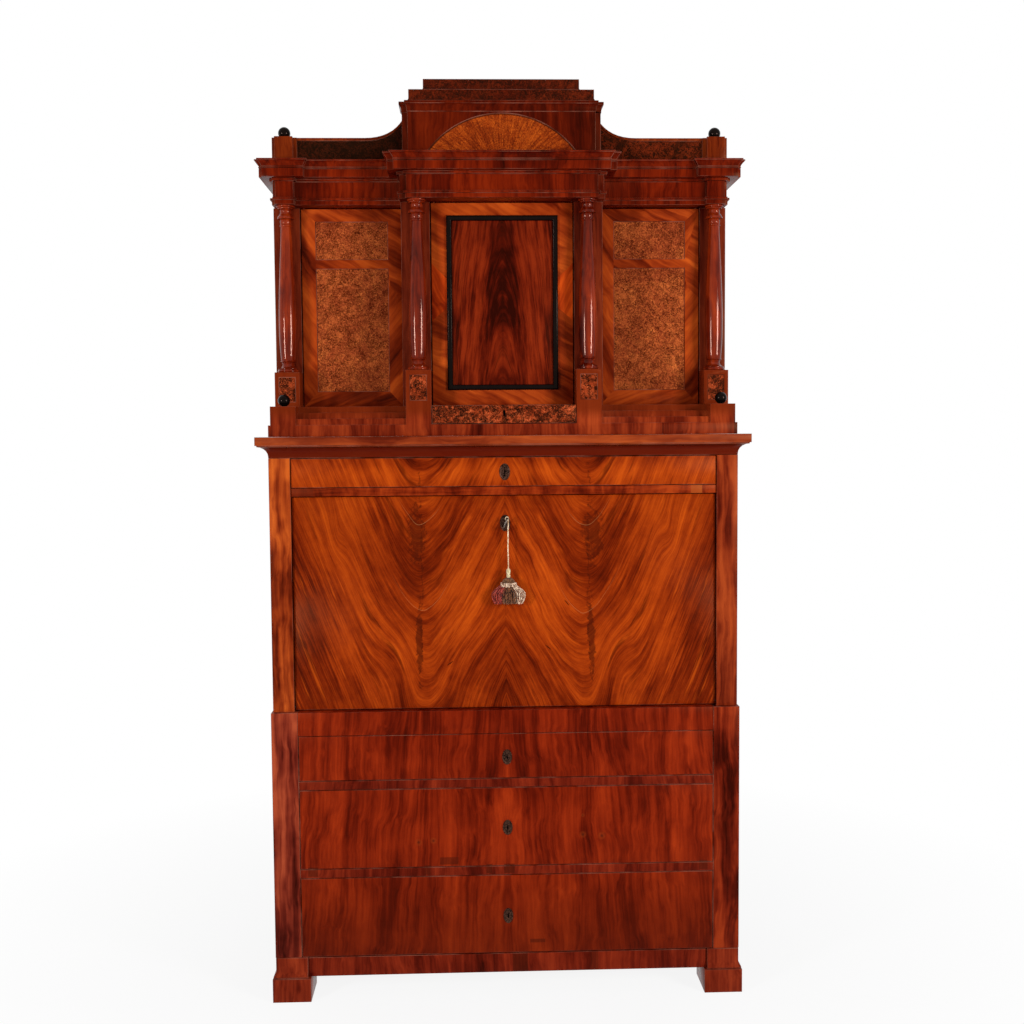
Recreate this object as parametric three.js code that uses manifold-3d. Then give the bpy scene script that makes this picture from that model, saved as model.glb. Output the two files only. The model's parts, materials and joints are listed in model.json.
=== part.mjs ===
// Fall-front secretaire: a chest of three drawers, a desk case with a fall front, and a temple-fronted
// upper cabinet with columns, steps, a lunette and a stepped crest.
// Millimetres, +Z up, the front faces -Y. Inside the model y is measured from the face of the desk posts,
// negative towards the room, and the whole group is then centred on its depth.

import * as THREE from 'three';
import { mergeVertices } from 'three/addons/utils/BufferGeometryUtils.js';
import Module from 'manifold-3d';

const wasm = await Module();
wasm.setup();

// Gaps between pieces
const gap = {
  fixed: 0.3,       // between pieces that are glued, screwed or resting
  drawer: 1.5,      // round a drawer front
  drawerSide: 3,    // beside a drawer box
  door: 3,          // round a door leaf
  flap: 2.5,        // beside and below the flap
  pin: 0.4,         // round a pivot pin
  behindLeaf: 2.2,  // behind a leaf whose back corner swings
};

// Timber sizes shared by the three cases
const board = { side: 18, back: 10, shelf: 12, drawerFront: 22, drawerSide: 11, drawerBottom: 8 };
const rebate = 24;  // how far the thick front members run back

// Base chest
const base = {
  half: 581,
  front: -12,
  height: 727,
  footHeight: 110,
  stile: 65,
  topRail: 58,
  rail: 22,
  railDepth: 62,
  drawerHeights: [114, 200],
  floor: 14,
  runner: 14,
  runnerWidth: 65,
  guide: 30,
  drawerRunBack: 50,
};
const foot = {
  projection: 7,
  width: 95,
  front: -22,
  depth: 110,
  blockHeight: 59,
  neck: 3,
  neckInset: 5,
  flare: 6,
  flareHeight: 14,
  shaftInset: 8,
};
const apron = { bottom: 60, front: -9, thickness: 22, topGap: 2 };

// Desk case
const desk = {
  inset: 4,
  depth: 480,
  post: 52,
  postDepth: 26,
  postHeight: 627,
  hollow: 68,
  cheek: 14,
  rail: 20,
  railFromTop: 94,
  railFront: 4,
  corniceHeight: 51.7,
  slabHeight: 21,
  slabProjection: 28,
  cavetto: 24,
  cavettoSteps: 5,
  cavettoFillet: 3,
  spacer: 15,
};
const flap = {
  front: 8,
  thickness: 27,
  pivotInset: 7,
  nose: 2,
  leatherMargin: 70,
  leatherDepth: 1,
};
const arm = {
  pin: 4,
  pinRoot: 80,
  pinEnd: 21,
  barInset: 41,
  bar: 8,
  height: 14,
  length: 245,
  weightLength: 60,
  weightWidth: 16,
  grooveInset: 47,
  groove: 22,
  grooveFace: 7.5,
  grooveTop: 265,
};
const lock = {
  keyBelowTop: 67.5,
  pocketHalf: 26,
  pocketDepth: 16,
  pocketBelowKey: 22,
  plate: 2.2,
  boltHalf: 7,
  boltThickness: 6,
  boltHead: 20,
  boltDrop: 1,
  boltFromPlate: 2.5,
  tailHalf: 4,
  tailThickness: 3,
  tailAboveKey: 13,
  mortiseMargin: 2,
  mortiseDepth: 13,
};
const key = {
  shaft: 2.5,
  hole: 3.6,
  bowHalfWidth: 14.5,
  bowHalfLength: 9,
  bowWire: 3.4,
  bowThickness: 3.2,
  bowTiltDegrees: 20,
  reach: 19,
  bitLength: 9,
  bitWidth: 3,
  bitThickness: 6,
  tipGap: 1.5,
};

// Cord and tassel on the key's bow: the cord is hitched round the top of the bow. Its points are chosen
// by hand, as x, y, z from the key hole
const cord = { diameter: 3.2, hitchGap: 0.6 };
const cordPoints = [
  [7.1, -11, 5.5], [7, -11, -3], [6.9, -11.1, -11.5], [6.8, -11.1, -20], [6.6, -11.2, -28.5],
  [6.5, -11.2, -37], [6.4, -11.3, -45.5], [6.3, -11.3, -54], [6.3, -11.4, -62.5], [6.4, -11.4, -71],
  [6.5, -11.5, -79.5], [6.6, -11.5, -88], [6.7, -11.5, -96.5], [6.8, -11.5, -104.5], [6.8, -11.5, -112],
];
const tassel = {
  bead: 5.8,
  beadHeight: 13,
  lowerBead: 5.2,
  lowerBeadHeight: 7.5,
  net: 17,
  netHeight: 18,
  netDepthShare: 0.75,
  skirt: 43,
  skirtHeight: 51,
  skirtDepthShare: 0.36,
};
// The skirt's outline, as shares of its half width and of its height
const skirtShares = [[0.86, 0], [1, 0.3], [0.9, 0.62], [0.6, 0.9], [0.3, 1.04]];

// Interior of the writing compartment
const interior = {
  setback: 110,
  headroom: 19,
  wall: 12,
  shelfBelowTop: 140,
  stackWidth: 196,
  pigeonholeDivider: 100,
  drawerDepth: 290,
  drawerFront: 14,
  drawerWall: 7,
  knob: 6,
  knobLength: 11,
};

// Upper cabinet: two front planes, the portico's and the side bays'
const temple = {
  porticoFront: 6,
  bayFront: 90,
  bandHeight: 28.7,
  inset: 6,
  wallInset: 1,
  plinthHeight: 46,
  pedestal: 62,
  pedestalHeight: 87.5,
  insetMargin: 10,
  insetTop: 12,
  insetDepth: 1.2,
  insetFoot: 12.5,
  columnHeight: 416.4,
  columnInset: 30.5,
  innerColumn: 209.5,
  wallGap: 0.3,
  porticoWall: 250,
  partition: 17,
  back: 470,
};
const step = { count: 3, firstInset: 6, tread: 28 };
const door = {
  thickness: 20,
  pivotInset: 6,
  pin: 3,
  pinLength: 6,
  stile: 35,
  topRail: 31,
  crossRail: 22,
  crossRailBelow: 127,
  bottomRail: 38,
  panelDepth: 2.5,
  bottomGap: 2,
  topGap: 3,
};
const centerPanel = { half: 125, mould: 13.5, mouldDepth: 8, bottom: 50.5, top: 44 };
const plinthDrawer = { boxTop: 16, length: 300 };

// Turned column: its outline from foot to top, as shares of the torus radius and of the height
const columnTorus = 27.2;
const columnShares = {
  base: [[0.93, 0], [1, 0.004], [1, 0.015], [0.95, 0.019], [0.77, 0.024], [0.64, 0.032], [0.56, 0.043]],
  rings: [[0.533, 0.052], [0.607, 0.053], [0.607, 0.063], [0.735, 0.064], [0.735, 0.074]],
  shaft: [[0.67, 0.075], [0.71, 0.103], [0.79, 0.183], [0.82, 0.303], [0.79, 0.418], [0.702, 0.577]],
  neck: [[0.577, 0.737], [0.489, 0.872], [0.588, 0.874], [0.588, 0.885], [0.507, 0.886], [0.551, 0.896]],
  bell: [[0.551, 0.91], [0.507, 0.919], [0.783, 0.92], [0.765, 0.928], [0.647, 0.941], [0.551, 0.952]],
  drum: [[0.5, 0.953], [0.54, 0.959], [0.54, 0.974], [0.5, 0.978], [0.735, 0.979], [0.735, 0.988]],
  abacus: [[0.86, 0.989], [0.86, 1]],
};

// Entablature heights from its underside, and how far each member stands out from the frieze
const order = {
  architrave: 11,
  architraveOut: 2,
  fillet: 5.5,
  filletOut: 6,
  frieze: 40.5,
  bed: 6,
  bedOut: 7,
  corona: 20.5,
  coronaOut: 29,
  crown: 21.5,
  crownOut: 38.5,
  mainFront: 113,
  ressautFront: 98,
  ressautHalf: 22.5,
  porticoMainFront: 28,
  porticoFront: 14,
  porticoHalf: 234,
  dustBoard: 14,
  hollowMargin: 60,
};
// The crown's outline above the corona: quirk, bead, cyma and fillet, as shares of how far it stands out
// and of its height
const crownShares = [
  [-0.35, 0], [-0.35, 0.05], [0.08, 0.08], [0.08, 0.2], [-0.05, 0.22], [0.1, 0.4], [0.45, 0.62],
  [0.8, 0.82], [1, 0.84], [1, 1],
];

// Attic
const attic = {
  half: 229,
  front: 20,
  depth: 150,
  height: 102,
  capHeight: 25,
  capOut: 7,
  shoulderHalf: 243,
  shoulderFront: 34,
  shoulderBack: 112,
  lunetteHalf: 186.7,
  lunetteRise: 98.5,
  lunetteDepth: 3,
  crestInset: 2,
  crestLower: 28.5,
  crestUpper: 29.1,
  crestUpperHalf: 191,
  crestCove: 7,
  crestFoot: 3,
};
// The cap's cove and lip, as shares of how far it stands out and of its height
const capShares = [[0.2, 0], [0.2, 0.1], [0.26, 0.35], [0.45, 0.56], [0.8, 0.7], [1, 0.72], [1, 1]];
const gallery = {
  inset: 62,
  front: 118,
  thickness: 18,
  height: 61.3,
  rise: 47,
  curveFrom: 340,
  curveTo: 244,
  bendShare: 0.3,
  cap: 7,
  capOut: 2,
};
const cornerPost = { front: 98, shoulder: 113, depth: 52, half: 22.5, height: 61.3 };
const ball = { radius: 15.2, cheekCentre: 14.4, finialCentre: 11.5, fromFront: 26 };

// How many flat sides stand for each round shape
const facetCount = {
  pin: 12,
  hole: 10,
  pivot: 8,
  knob: 10,
  bow: 8,
  hitch: 12,
  hitchSection: 6,
  cordSection: 8,
  cordSteps: 15,
  tassel: 14,
  dome: 4,
  column: 20,
  bead: 6,
  lunette: 20,
  sweep: 8,
  ball: 16,
  ballRings: 8,
};

// Finishes, as colours read off the object
const finishes = {
  mahogany: { color: 0x8a3417, roughness: 0.28, metalness: 0 },
  burr: { color: 0x4a2210, roughness: 0.3, metalness: 0 },
  secondary: { color: 0xa67c4e, roughness: 0.7, metalness: 0 },
  ebonised: { color: 0x14100e, roughness: 0.2, metalness: 0 },
  brass: { color: 0x8c6a35, roughness: 0.4, metalness: 1 },
  iron: { color: 0x3a3836, roughness: 0.55, metalness: 1 },
  cord: { color: 0xe6d9bf, roughness: 0.9, metalness: 0 },
  tassel: { color: 0xb5563f, roughness: 0.9, metalness: 0 },
};

// Places that the sections share
const footOuter = base.half + foot.projection;
const deskHalf = base.half - desk.inset;
const cheekInner = deskHalf - desk.hollow;
const templeHalf = deskHalf - temple.inset;
const outerColumn = templeHalf - temple.columnInset;
const galleryOuter = templeHalf - gallery.inset;
const armPlace = {
  pinFrom: deskHalf - arm.pinRoot,
  pinTo: deskHalf - arm.pinEnd,
  bar: deskHalf - arm.barInset,
  groove: deskHalf - arm.grooveInset,
};
const upperFloor = temple.bandHeight + temple.plinthHeight;
const deskHeight = desk.postHeight + desk.corniceHeight;
const pivotHeight = gap.flap + flap.pivotInset;
const pivotDepth = flap.front + flap.pivotInset;
const flapBack = flap.front + flap.thickness;
const flapTop = desk.postHeight - desk.railFromTop - gap.flap;
const keyHeight = flapTop - lock.keyBelowTop;
const bowTilt = THREE.MathUtils.degToRad(key.bowTiltDegrees);
const writingTop = pivotHeight + flap.thickness - flap.pivotInset;
const innerFront = flapBack + gap.behindLeaf;
const doorFace = temple.bayFront + temple.pedestal + temple.wallGap;
const centerFace = temple.porticoFront + temple.pedestal + temple.wallGap;
const columnFoot = upperFloor + temple.pedestalHeight;
const entablatureFoot = columnFoot + temple.columnHeight;
const entablatureHeight = order.architrave + order.fillet + order.frieze + order.bed + order.corona
  + order.crown;
const atticFoot = entablatureFoot + entablatureHeight;
const wallHalf = deskHalf - temple.wallInset;

// From three.js geometry to a solid and back
function toSolid(geometry) {
  const bare = geometry.clone();
  bare.deleteAttribute('normal');
  bare.deleteAttribute('uv');
  const merged = mergeVertices(bare);
  const mesh = new wasm.Mesh({
    numProp: 3,
    vertProperties: new Float32Array(merged.attributes.position.array),
    triVerts: new Uint32Array(merged.index.array),
  });
  return new wasm.Manifold(mesh);
}

function toGeometry(solid) {
  const mesh = solid.getMesh();
  const geometry = new THREE.BufferGeometry();
  geometry.setAttribute('position', new THREE.BufferAttribute(new Float32Array(mesh.vertProperties), 3));
  geometry.setIndex(new THREE.BufferAttribute(new Uint32Array(mesh.triVerts), 1));
  return geometry;
}

function join(solids) {
  return solids.reduce((whole, next) => whole.add(next));
}

function cut(solid, tools) {
  return tools.reduce((left, tool) => left.subtract(tool), solid);
}

// A block between two limits on each axis
function block(x, y, z) {
  const geometry = new THREE.BoxGeometry();
  const corners = geometry.attributes.position;
  const limit = (range, place) => (place < 0 ? range[0] : range[1]);
  for (let i = 0; i < corners.count; i += 1) {
    corners.setXYZ(i, limit(x, corners.getX(i)), limit(y, corners.getY(i)), limit(z, corners.getZ(i)));
  }
  return toSolid(geometry);
}

// A span on one side of the centre line, given by its inner and outer distance
function span(side, inner, outer) {
  return side > 0 ? [inner, outer] : [-outer, -inner];
}

function centred(half) {
  return [-half, half];
}

// A rod along one axis, between two places on it
function rod(axis, radius, from, to, a, b, sides) {
  const geometry = new THREE.CylinderGeometry(radius, radius, to - from, sides);
  const middle = (from + to) / 2;
  if (axis === 'x') {
    geometry.rotateZ(-Math.PI / 2);
    geometry.translate(middle, a, b);
  } else if (axis === 'y') {
    geometry.translate(a, middle, b);
  } else {
    geometry.rotateX(Math.PI / 2);
    geometry.translate(a, b, middle);
  }
  return toSolid(geometry);
}

// A turned piece from radii and heights, standing at x, y
function turned(profile, x, y, z, sides) {
  const points = profile.map(([radius, height]) => new THREE.Vector2(radius, height));
  const geometry = new THREE.LatheGeometry(points, sides);
  geometry.rotateX(Math.PI / 2);
  geometry.translate(x, y, z);
  return toSolid(geometry);
}

// A flat outline in the x-z plane, with its thickness running back from a front face
function plate(shape, front, thickness, curveSegments) {
  const options = { depth: thickness, bevelEnabled: false, curveSegments };
  const geometry = new THREE.ExtrudeGeometry(shape, options);
  geometry.rotateX(Math.PI / 2);
  geometry.translate(0, front + thickness, 0);
  return toSolid(geometry);
}

// A moulded block: a rectangle whose front and sides step in and out with height, mitred at the corners
function moulded(x, front, back, profile) {
  const positions = [];
  for (const [out, z] of profile) {
    positions.push(x[0] - out, front - out, z);
    positions.push(x[1] + out, front - out, z);
    positions.push(x[1] + out, back, z);
    positions.push(x[0] - out, back, z);
  }
  const cornerCount = 4;
  const last = (profile.length - 1) * cornerCount;
  const index = [0, 2, 1, 0, 3, 2, last, last + 1, last + 2, last, last + 2, last + 3];
  for (let level = 0; level < profile.length - 1; level += 1) {
    for (let corner = 0; corner < cornerCount; corner += 1) {
      const a = level * cornerCount + corner;
      const b = level * cornerCount + (corner + 1) % cornerCount;
      index.push(a, b, b + cornerCount, a, b + cornerCount, a + cornerCount);
    }
  }
  const geometry = new THREE.BufferGeometry();
  geometry.setAttribute('position', new THREE.Float32BufferAttribute(positions, 3));
  geometry.setIndex(index);
  return toSolid(geometry);
}

// An open-topped drawer box
function drawerBox(x, y, z, wall, bottom) {
  const inside = (range) => [range[0] + wall, range[1] - wall];
  return block(x, y, z).subtract(block(inside(x), inside(y), [z[0] + bottom, z[1] + bottom]));
}

function piece(group, name, solid, finish) {
  const material = new THREE.MeshStandardMaterial(finishes[finish]);
  const mesh = new THREE.Mesh(toGeometry(solid), material);
  mesh.name = name;
  group.add(mesh);
  return mesh;
}

const sides = [['left', -1], ['right', 1]];

// Base chest, measured from the ground
function buildBaseChest() {
  const group = new THREE.Group();
  const stileInner = base.half - base.stile;
  const stileBack = base.front + rebate + 2 * gap.fixed;
  const panelInner = base.half - board.side;
  const caseBottom = base.footHeight + gap.fixed;
  const railFit = stileInner - gap.fixed;
  const openings = drawerOpenings();
  const back = desk.depth;

  for (const [name, side] of sides) {
    const parts = [
      block(span(side, stileInner, base.half), [base.front, stileBack], [caseBottom, base.height]),
      block(span(side, panelInner, base.half), [base.front, back], [caseBottom, base.height]),
    ];
    for (const opening of openings) {
      const top = opening.bottom;
      const runnerFront = opening.last ? stileBack : base.front + base.railDepth + gap.fixed;
      const run = [runnerFront, back - base.drawerRunBack];
      if (!opening.last) {
        const runner = span(side, panelInner - base.runnerWidth, base.half);
        parts.push(block(runner, run, [top - base.runner, top]));
      }
      const guideFoot = opening.last ? caseBottom + base.floor + gap.fixed : top - base.runner;
      parts.push(block(span(side, stileInner, base.half), run, [guideFoot, top + base.guide]));
    }
    piece(group, `base_side_${name}`, join(parts), 'mahogany');
  }

  const inside = centred(panelInner - gap.fixed);
  const backFront = back - board.back;
  piece(group, 'base_back', block(inside, [backFront, back], [caseBottom, base.height]), 'secondary');
  const behindStile = stileBack + gap.fixed;
  const floorSpan = [behindStile, backFront - gap.fixed];
  const floorTop = caseBottom + base.floor;
  piece(group, 'base_floor', block(inside, floorSpan, [caseBottom, floorTop]), 'secondary');

  const boardHeight = [base.height - board.side, base.height];
  const top = join([
    block(centred(railFit), [base.front, stileBack + base.topRail], boardHeight),
    block(centred(railFit), [base.front, stileBack], [base.height - base.topRail, base.height]),
    block(inside, floorSpan, boardHeight),
  ]);
  piece(group, 'base_top', top, 'mahogany');
  const railNames = ['base_rail_upper', 'base_rail_lower'];
  const railSpan = [base.front, base.front + base.railDepth];
  for (let i = 0; i < railNames.length; i += 1) {
    const railTop = openings[i].bottom;
    const rail = block(centred(railFit), railSpan, [railTop - base.rail, railTop]);
    const notch = panelInner - base.runnerWidth - gap.fixed;
    const relief = sides.map(([, side]) => block(
      span(side, notch, base.half),
      [behindStile, back],
      [railTop - base.rail - gap.fixed, railTop + gap.fixed],
    ));
    piece(group, railNames[i], cut(rail, relief), 'mahogany');
  }

  const apronHalf = footOuter - foot.width + foot.shaftInset - gap.fixed;
  const apronTop = base.footHeight - apron.topGap;
  const apronSpan = [apron.front, apron.front + apron.thickness];
  piece(group, 'base_apron', block(centred(apronHalf), apronSpan, [apron.bottom, apronTop]), 'mahogany');
  buildFeet(group);
  openings.forEach((opening, i) => buildBaseDrawer(group, opening, i + 1));
  return group;
}

// The three drawer openings, from the top rail down
function drawerOpenings() {
  const openings = [];
  let top = base.height - base.topRail;
  for (const height of base.drawerHeights) {
    openings.push({ top, bottom: top - height, last: false });
    top -= height + base.rail;
  }
  openings.push({ top, bottom: base.footHeight + gap.fixed, last: true });
  return openings;
}

function buildFeet(group) {
  const neckTop = foot.blockHeight + foot.neck;
  const inset = -foot.shaftInset;
  const flare = inset + foot.flare;
  const profile = [
    [0, 0],
    [0, foot.blockHeight],
    [-foot.neckInset, foot.blockHeight],
    [-foot.neckInset, neckTop],
    [flare, neckTop],
    [flare, neckTop + foot.neck],
    [inset, neckTop + foot.flareHeight],
    [inset, base.footHeight],
  ];
  for (const [name, side] of sides) {
    const x = span(side, footOuter - foot.width, footOuter);
    const y = [foot.front, foot.front + foot.depth];
    const apronSide = span(side, 0, footOuter - foot.width + foot.shaftInset);
    const seat = block(apronSide, [y[0] - foot.flare, y[1] + foot.flare], [foot.blockHeight, base.height]);
    piece(group, `front_foot_${name}`, moulded(x, y[0], y[1], profile).subtract(seat), 'mahogany');
    const rear = block(x, [desk.depth - foot.depth, desk.depth], [0, base.footHeight]);
    piece(group, `rear_foot_${name}`, rear, 'mahogany');
  }
}

function buildBaseDrawer(group, opening, number) {
  const half = base.half - base.stile - gap.drawer;
  const front = base.front + gap.fixed;
  const frontBack = front + board.drawerFront;
  const low = opening.bottom + gap.drawer;
  const high = opening.top - gap.drawer;
  const boxFoot = opening.last ? opening.bottom + base.floor + gap.drawer : opening.bottom + gap.drawer / 2;
  const boxHalf = half - gap.drawerSide;
  const boxBack = desk.depth - base.drawerRunBack - gap.drawerSide;
  const drawerFront = block(centred(half), [front, frontBack], [low, high]);
  piece(group, `base_drawer_${number}_front`, drawerFront, 'mahogany');
  const box = drawerBox(
    centred(boxHalf),
    [frontBack + gap.fixed, boxBack],
    [boxFoot, high - board.drawerBottom],
    board.drawerSide,
    board.drawerBottom,
  );
  piece(group, `base_drawer_${number}_box`, box, 'secondary');
}

// Desk case, measured from the top of the base chest
function buildDeskCase() {
  const group = new THREE.Group();
  const postInner = deskHalf - desk.post;
  const panelInner = deskHalf - board.side;
  const cheekOuter = cheekInner + desk.cheek;
  const low = gap.fixed;
  const height = [low, desk.postHeight];
  const backFront = desk.depth - board.back;
  const floorSpan = [innerFront, backFront - gap.fixed];

  for (const [name, side] of sides) {
    const parts = [
      block(span(side, postInner, deskHalf), [0, desk.postDepth], height),
      block(span(side, panelInner, deskHalf), [0, desk.depth], height),
      block(span(side, cheekInner, cheekOuter), floorSpan, height),
      block(span(side, cheekInner, deskHalf), [backFront - desk.spacer, floorSpan[1]], height),
    ];
    const groove = block(
      span(side, armPlace.groove, armPlace.groove + arm.groove),
      [arm.grooveFace, desk.postDepth + gap.fixed],
      [0, arm.grooveTop],
    );
    const [pinFrom, pinTo] = span(side, postInner - gap.flap, armPlace.pinTo + gap.flap);
    const bearing = rod('x', arm.pin + gap.pin, pinFrom, pinTo, pivotDepth, pivotHeight, facetCount.pin);
    piece(group, `desk_side_${name}`, cut(join(parts), [groove, bearing]), 'mahogany');
  }

  const backHalf = panelInner - gap.fixed;
  piece(group, 'desk_back', block(centred(backHalf), [backFront, desk.depth], height), 'secondary');
  buildDeskCornice(group);
  buildDeskRail(group);
  const floorHalf = cheekInner - gap.fixed;
  piece(group, 'writing_floor', block(centred(floorHalf), floorSpan, [low, writingTop]), 'mahogany');
  buildTopDrawer(group);
  buildFlap(group);
  buildLock(group);
  buildInterior(group);
  return group;
}

function buildDeskCornice(group) {
  const slabFoot = desk.postHeight + desk.corniceHeight - desk.slabHeight;
  const coveFoot = slabFoot - desk.cavettoFillet - desk.cavetto;
  const profile = [[0, desk.postHeight + gap.fixed]];
  for (let i = 0; i <= desk.cavettoSteps; i += 1) {
    const turn = (i / desk.cavettoSteps) * Math.PI / 2;
    profile.push([desk.cavetto * (1 - Math.cos(turn)), coveFoot + desk.cavetto * Math.sin(turn)]);
  }
  profile.push([desk.cavetto, slabFoot]);
  profile.push([desk.slabProjection, slabFoot]);
  profile.push([desk.slabProjection, slabFoot + desk.slabHeight]);
  const solid = moulded(centred(deskHalf), 0, desk.depth, profile);
  const inner = deskHalf - board.side;
  const hollow = block(centred(inner), [rebate, desk.depth - board.side], [0, slabFoot]);
  piece(group, 'desk_cornice', solid.subtract(hollow), 'mahogany');
}

function buildDeskRail(group) {
  const railFoot = desk.postHeight - desk.railFromTop;
  const z = [railFoot, railFoot + desk.rail];
  const postFit = deskHalf - desk.post - gap.fixed;
  const cheekFit = cheekInner - gap.fixed;
  const rail = join([
    block(centred(postFit), [desk.railFront, innerFront - gap.fixed], z),
    block(centred(cheekFit), [desk.railFront, desk.depth - board.back - gap.fixed], z),
    block(centred(cheekFit), [innerFront, innerFront + board.shelf], [railFoot - board.shelf, z[1]]),
  ]);
  const mortiseFront = flapBack - lock.plate - lock.boltFromPlate - lock.boltThickness;
  const mortise = block(
    centred(lock.boltHalf + lock.mortiseMargin),
    [mortiseFront - lock.mortiseMargin, flapBack],
    [railFoot - gap.flap, railFoot + lock.mortiseDepth],
  );
  piece(group, 'desk_rail', rail.subtract(mortise), 'mahogany');
}

function buildTopDrawer(group) {
  const half = deskHalf - desk.post - gap.drawer;
  const low = desk.postHeight - desk.railFromTop + desk.rail + gap.drawer;
  const high = desk.postHeight - gap.drawer;
  const frontBack = desk.railFront + board.drawerFront;
  const drawerFront = block(centred(half), [desk.railFront, frontBack], [low, high]);
  piece(group, 'top_drawer_front', drawerFront, 'mahogany');
  const box = drawerBox(
    centred(cheekInner - gap.drawerSide),
    [frontBack + gap.fixed, desk.depth - base.drawerRunBack - gap.drawerSide],
    [low, high - board.drawerBottom],
    board.drawerSide,
    board.drawerBottom,
  );
  piece(group, 'top_drawer_box', box, 'secondary');
}

function buildFlap(group) {
  const half = deskHalf - desk.post - gap.flap;
  const outline = new THREE.Shape();
  outline.moveTo(flap.front, gap.flap + flap.nose);
  outline.lineTo(flap.front + flap.nose, gap.flap);
  outline.lineTo(flapBack, gap.flap);
  outline.lineTo(flapBack, flapTop);
  outline.lineTo(flap.front, flapTop);
  outline.closePath();
  const geometry = new THREE.ExtrudeGeometry(outline, { depth: 2 * half, bevelEnabled: false });
  geometry.rotateX(Math.PI / 2);
  geometry.rotateZ(Math.PI / 2);
  geometry.translate(-half, 0, 0);
  const panel = toSolid(geometry);
  const tools = [
    block(
      centred(half - flap.leatherMargin),
      [flapBack - flap.leatherDepth, flapBack + flap.leatherDepth],
      [gap.flap + flap.leatherMargin, keyHeight - lock.pocketBelowKey - flap.leatherMargin / 2],
    ),
    block(
      centred(lock.pocketHalf),
      [flapBack - lock.pocketDepth, flapBack + lock.plate],
      [keyHeight - lock.pocketBelowKey, flapTop + lock.plate],
    ),
    rod('y', key.hole, flap.front - lock.plate, flapBack - lock.plate, 0, keyHeight, facetCount.hole),
  ];
  for (const [, side] of sides) {
    const [from, to] = span(side, armPlace.pinFrom - gap.fixed, deskHalf);
    tools.push(rod('x', arm.pin + gap.fixed, from, to, pivotDepth, pivotHeight, facetCount.pin));
  }
  piece(group, 'flap_panel', cut(panel, tools), 'mahogany');

  for (const [name, side] of sides) {
    const pin = span(side, armPlace.pinFrom, armPlace.pinTo);
    const bar = span(side, armPlace.bar, armPlace.bar + arm.bar);
    const middle = armPlace.bar + arm.bar / 2;
    const weight = span(side, middle - arm.weightWidth / 2, middle + arm.weightWidth / 2);
    const halfHeight = arm.height / 2;
    const z = [pivotHeight - halfHeight, pivotHeight + halfHeight];
    const end = pivotDepth + arm.length;
    const solid = join([
      rod('x', arm.pin, pin[0], pin[1], pivotDepth, pivotHeight, facetCount.pin),
      rod('x', halfHeight, bar[0], bar[1], pivotDepth, pivotHeight, facetCount.pin),
      block(bar, [pivotDepth, end], z),
      block(weight, [end - arm.weightLength, end], z),
    ]);
    piece(group, `flap_arm_${name}`, solid, 'iron');
  }
}

function buildLock(group) {
  const plateFront = flapBack - lock.plate;
  const pocketFront = flapBack - lock.pocketDepth + gap.fixed;
  const half = lock.pocketHalf - gap.fixed;
  const boltBack = plateFront - lock.boltFromPlate;
  const boltSpan = [boltBack - lock.boltThickness, boltBack];
  const slip = gap.pin;
  const lockCase = join([
    block(centred(half), [plateFront, flapBack], [keyHeight - lock.pocketBelowKey + gap.fixed, flapTop]),
    block(centred(half), [pocketFront, flapBack], [flapTop - lock.plate, flapTop]),
  ]);
  const slot = block(
    centred(lock.boltHalf + slip),
    [boltSpan[0] - slip, boltSpan[1] + slip],
    [flapTop - 2 * lock.plate, flapTop + lock.plate],
  );
  piece(group, 'flap_lock_case', lockCase.subtract(slot), 'brass');
  const boltTop = flapTop - lock.boltDrop;
  const headFoot = boltTop - lock.boltHead;
  const bolt = join([
    block(centred(lock.boltHalf), boltSpan, [headFoot, boltTop]),
    block(
      centred(lock.tailHalf),
      [boltSpan[1] - lock.tailThickness, boltSpan[1]],
      [keyHeight + lock.tailAboveKey, boltTop],
    ),
  ]);
  piece(group, 'flap_lock_bolt', bolt, 'iron');
  buildKey(group, plateFront);
  buildTassel(group);
}

// The key's oval bow stands in an upright plane through its shaft, tilted a little to the right
function buildKey(group, plateFront) {
  const bowCentre = flap.front - key.reach;
  const tip = plateFront - key.tipGap;
  const oval = new THREE.Shape();
  oval.absellipse(0, 0, key.bowHalfWidth, key.bowHalfLength, 0, 2 * Math.PI, false, 0);
  const eye = new THREE.Path();
  const eyeHalf = [key.bowHalfWidth - key.bowWire, key.bowHalfLength - key.bowWire];
  eye.absellipse(0, 0, eyeHalf[0], eyeHalf[1], 0, 2 * Math.PI, true, 0);
  oval.holes.push(eye);
  const options = { depth: key.bowThickness, bevelEnabled: false, curveSegments: facetCount.bow };
  const bow = new THREE.ExtrudeGeometry(oval, options);
  bow.translate(0, 0, -key.bowThickness / 2);
  bow.rotateY(bowTilt - Math.PI / 2);
  bow.translate(0, bowCentre, keyHeight);
  const shaftFront = bowCentre + key.bowHalfLength - key.bowWire / 2;
  const bitSpan = [tip - key.bitThickness, tip];
  const solid = join([
    rod('y', key.shaft, shaftFront, tip, 0, keyHeight, facetCount.hole),
    toSolid(bow),
    block(centred(key.bitWidth / 2), bitSpan, [keyHeight - key.bitLength, keyHeight]),
  ]);
  piece(group, 'key', solid, 'iron');

  const wireHalf = Math.hypot(key.bowWire, key.bowThickness) / 2;
  const loop = wireHalf + cord.hitchGap + cord.diameter / 2;
  const hitchOut = key.bowHalfWidth - key.bowWire / 2;
  const hitch = new THREE.TorusGeometry(loop, cord.diameter / 2, facetCount.hitchSection, facetCount.hitch);
  hitch.rotateX(Math.PI / 2);
  hitch.translate(hitchOut * Math.sin(bowTilt), bowCentre, keyHeight + hitchOut * Math.cos(bowTilt));
  piece(group, 'cord_hitch', toSolid(hitch), 'cord');
}

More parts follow.
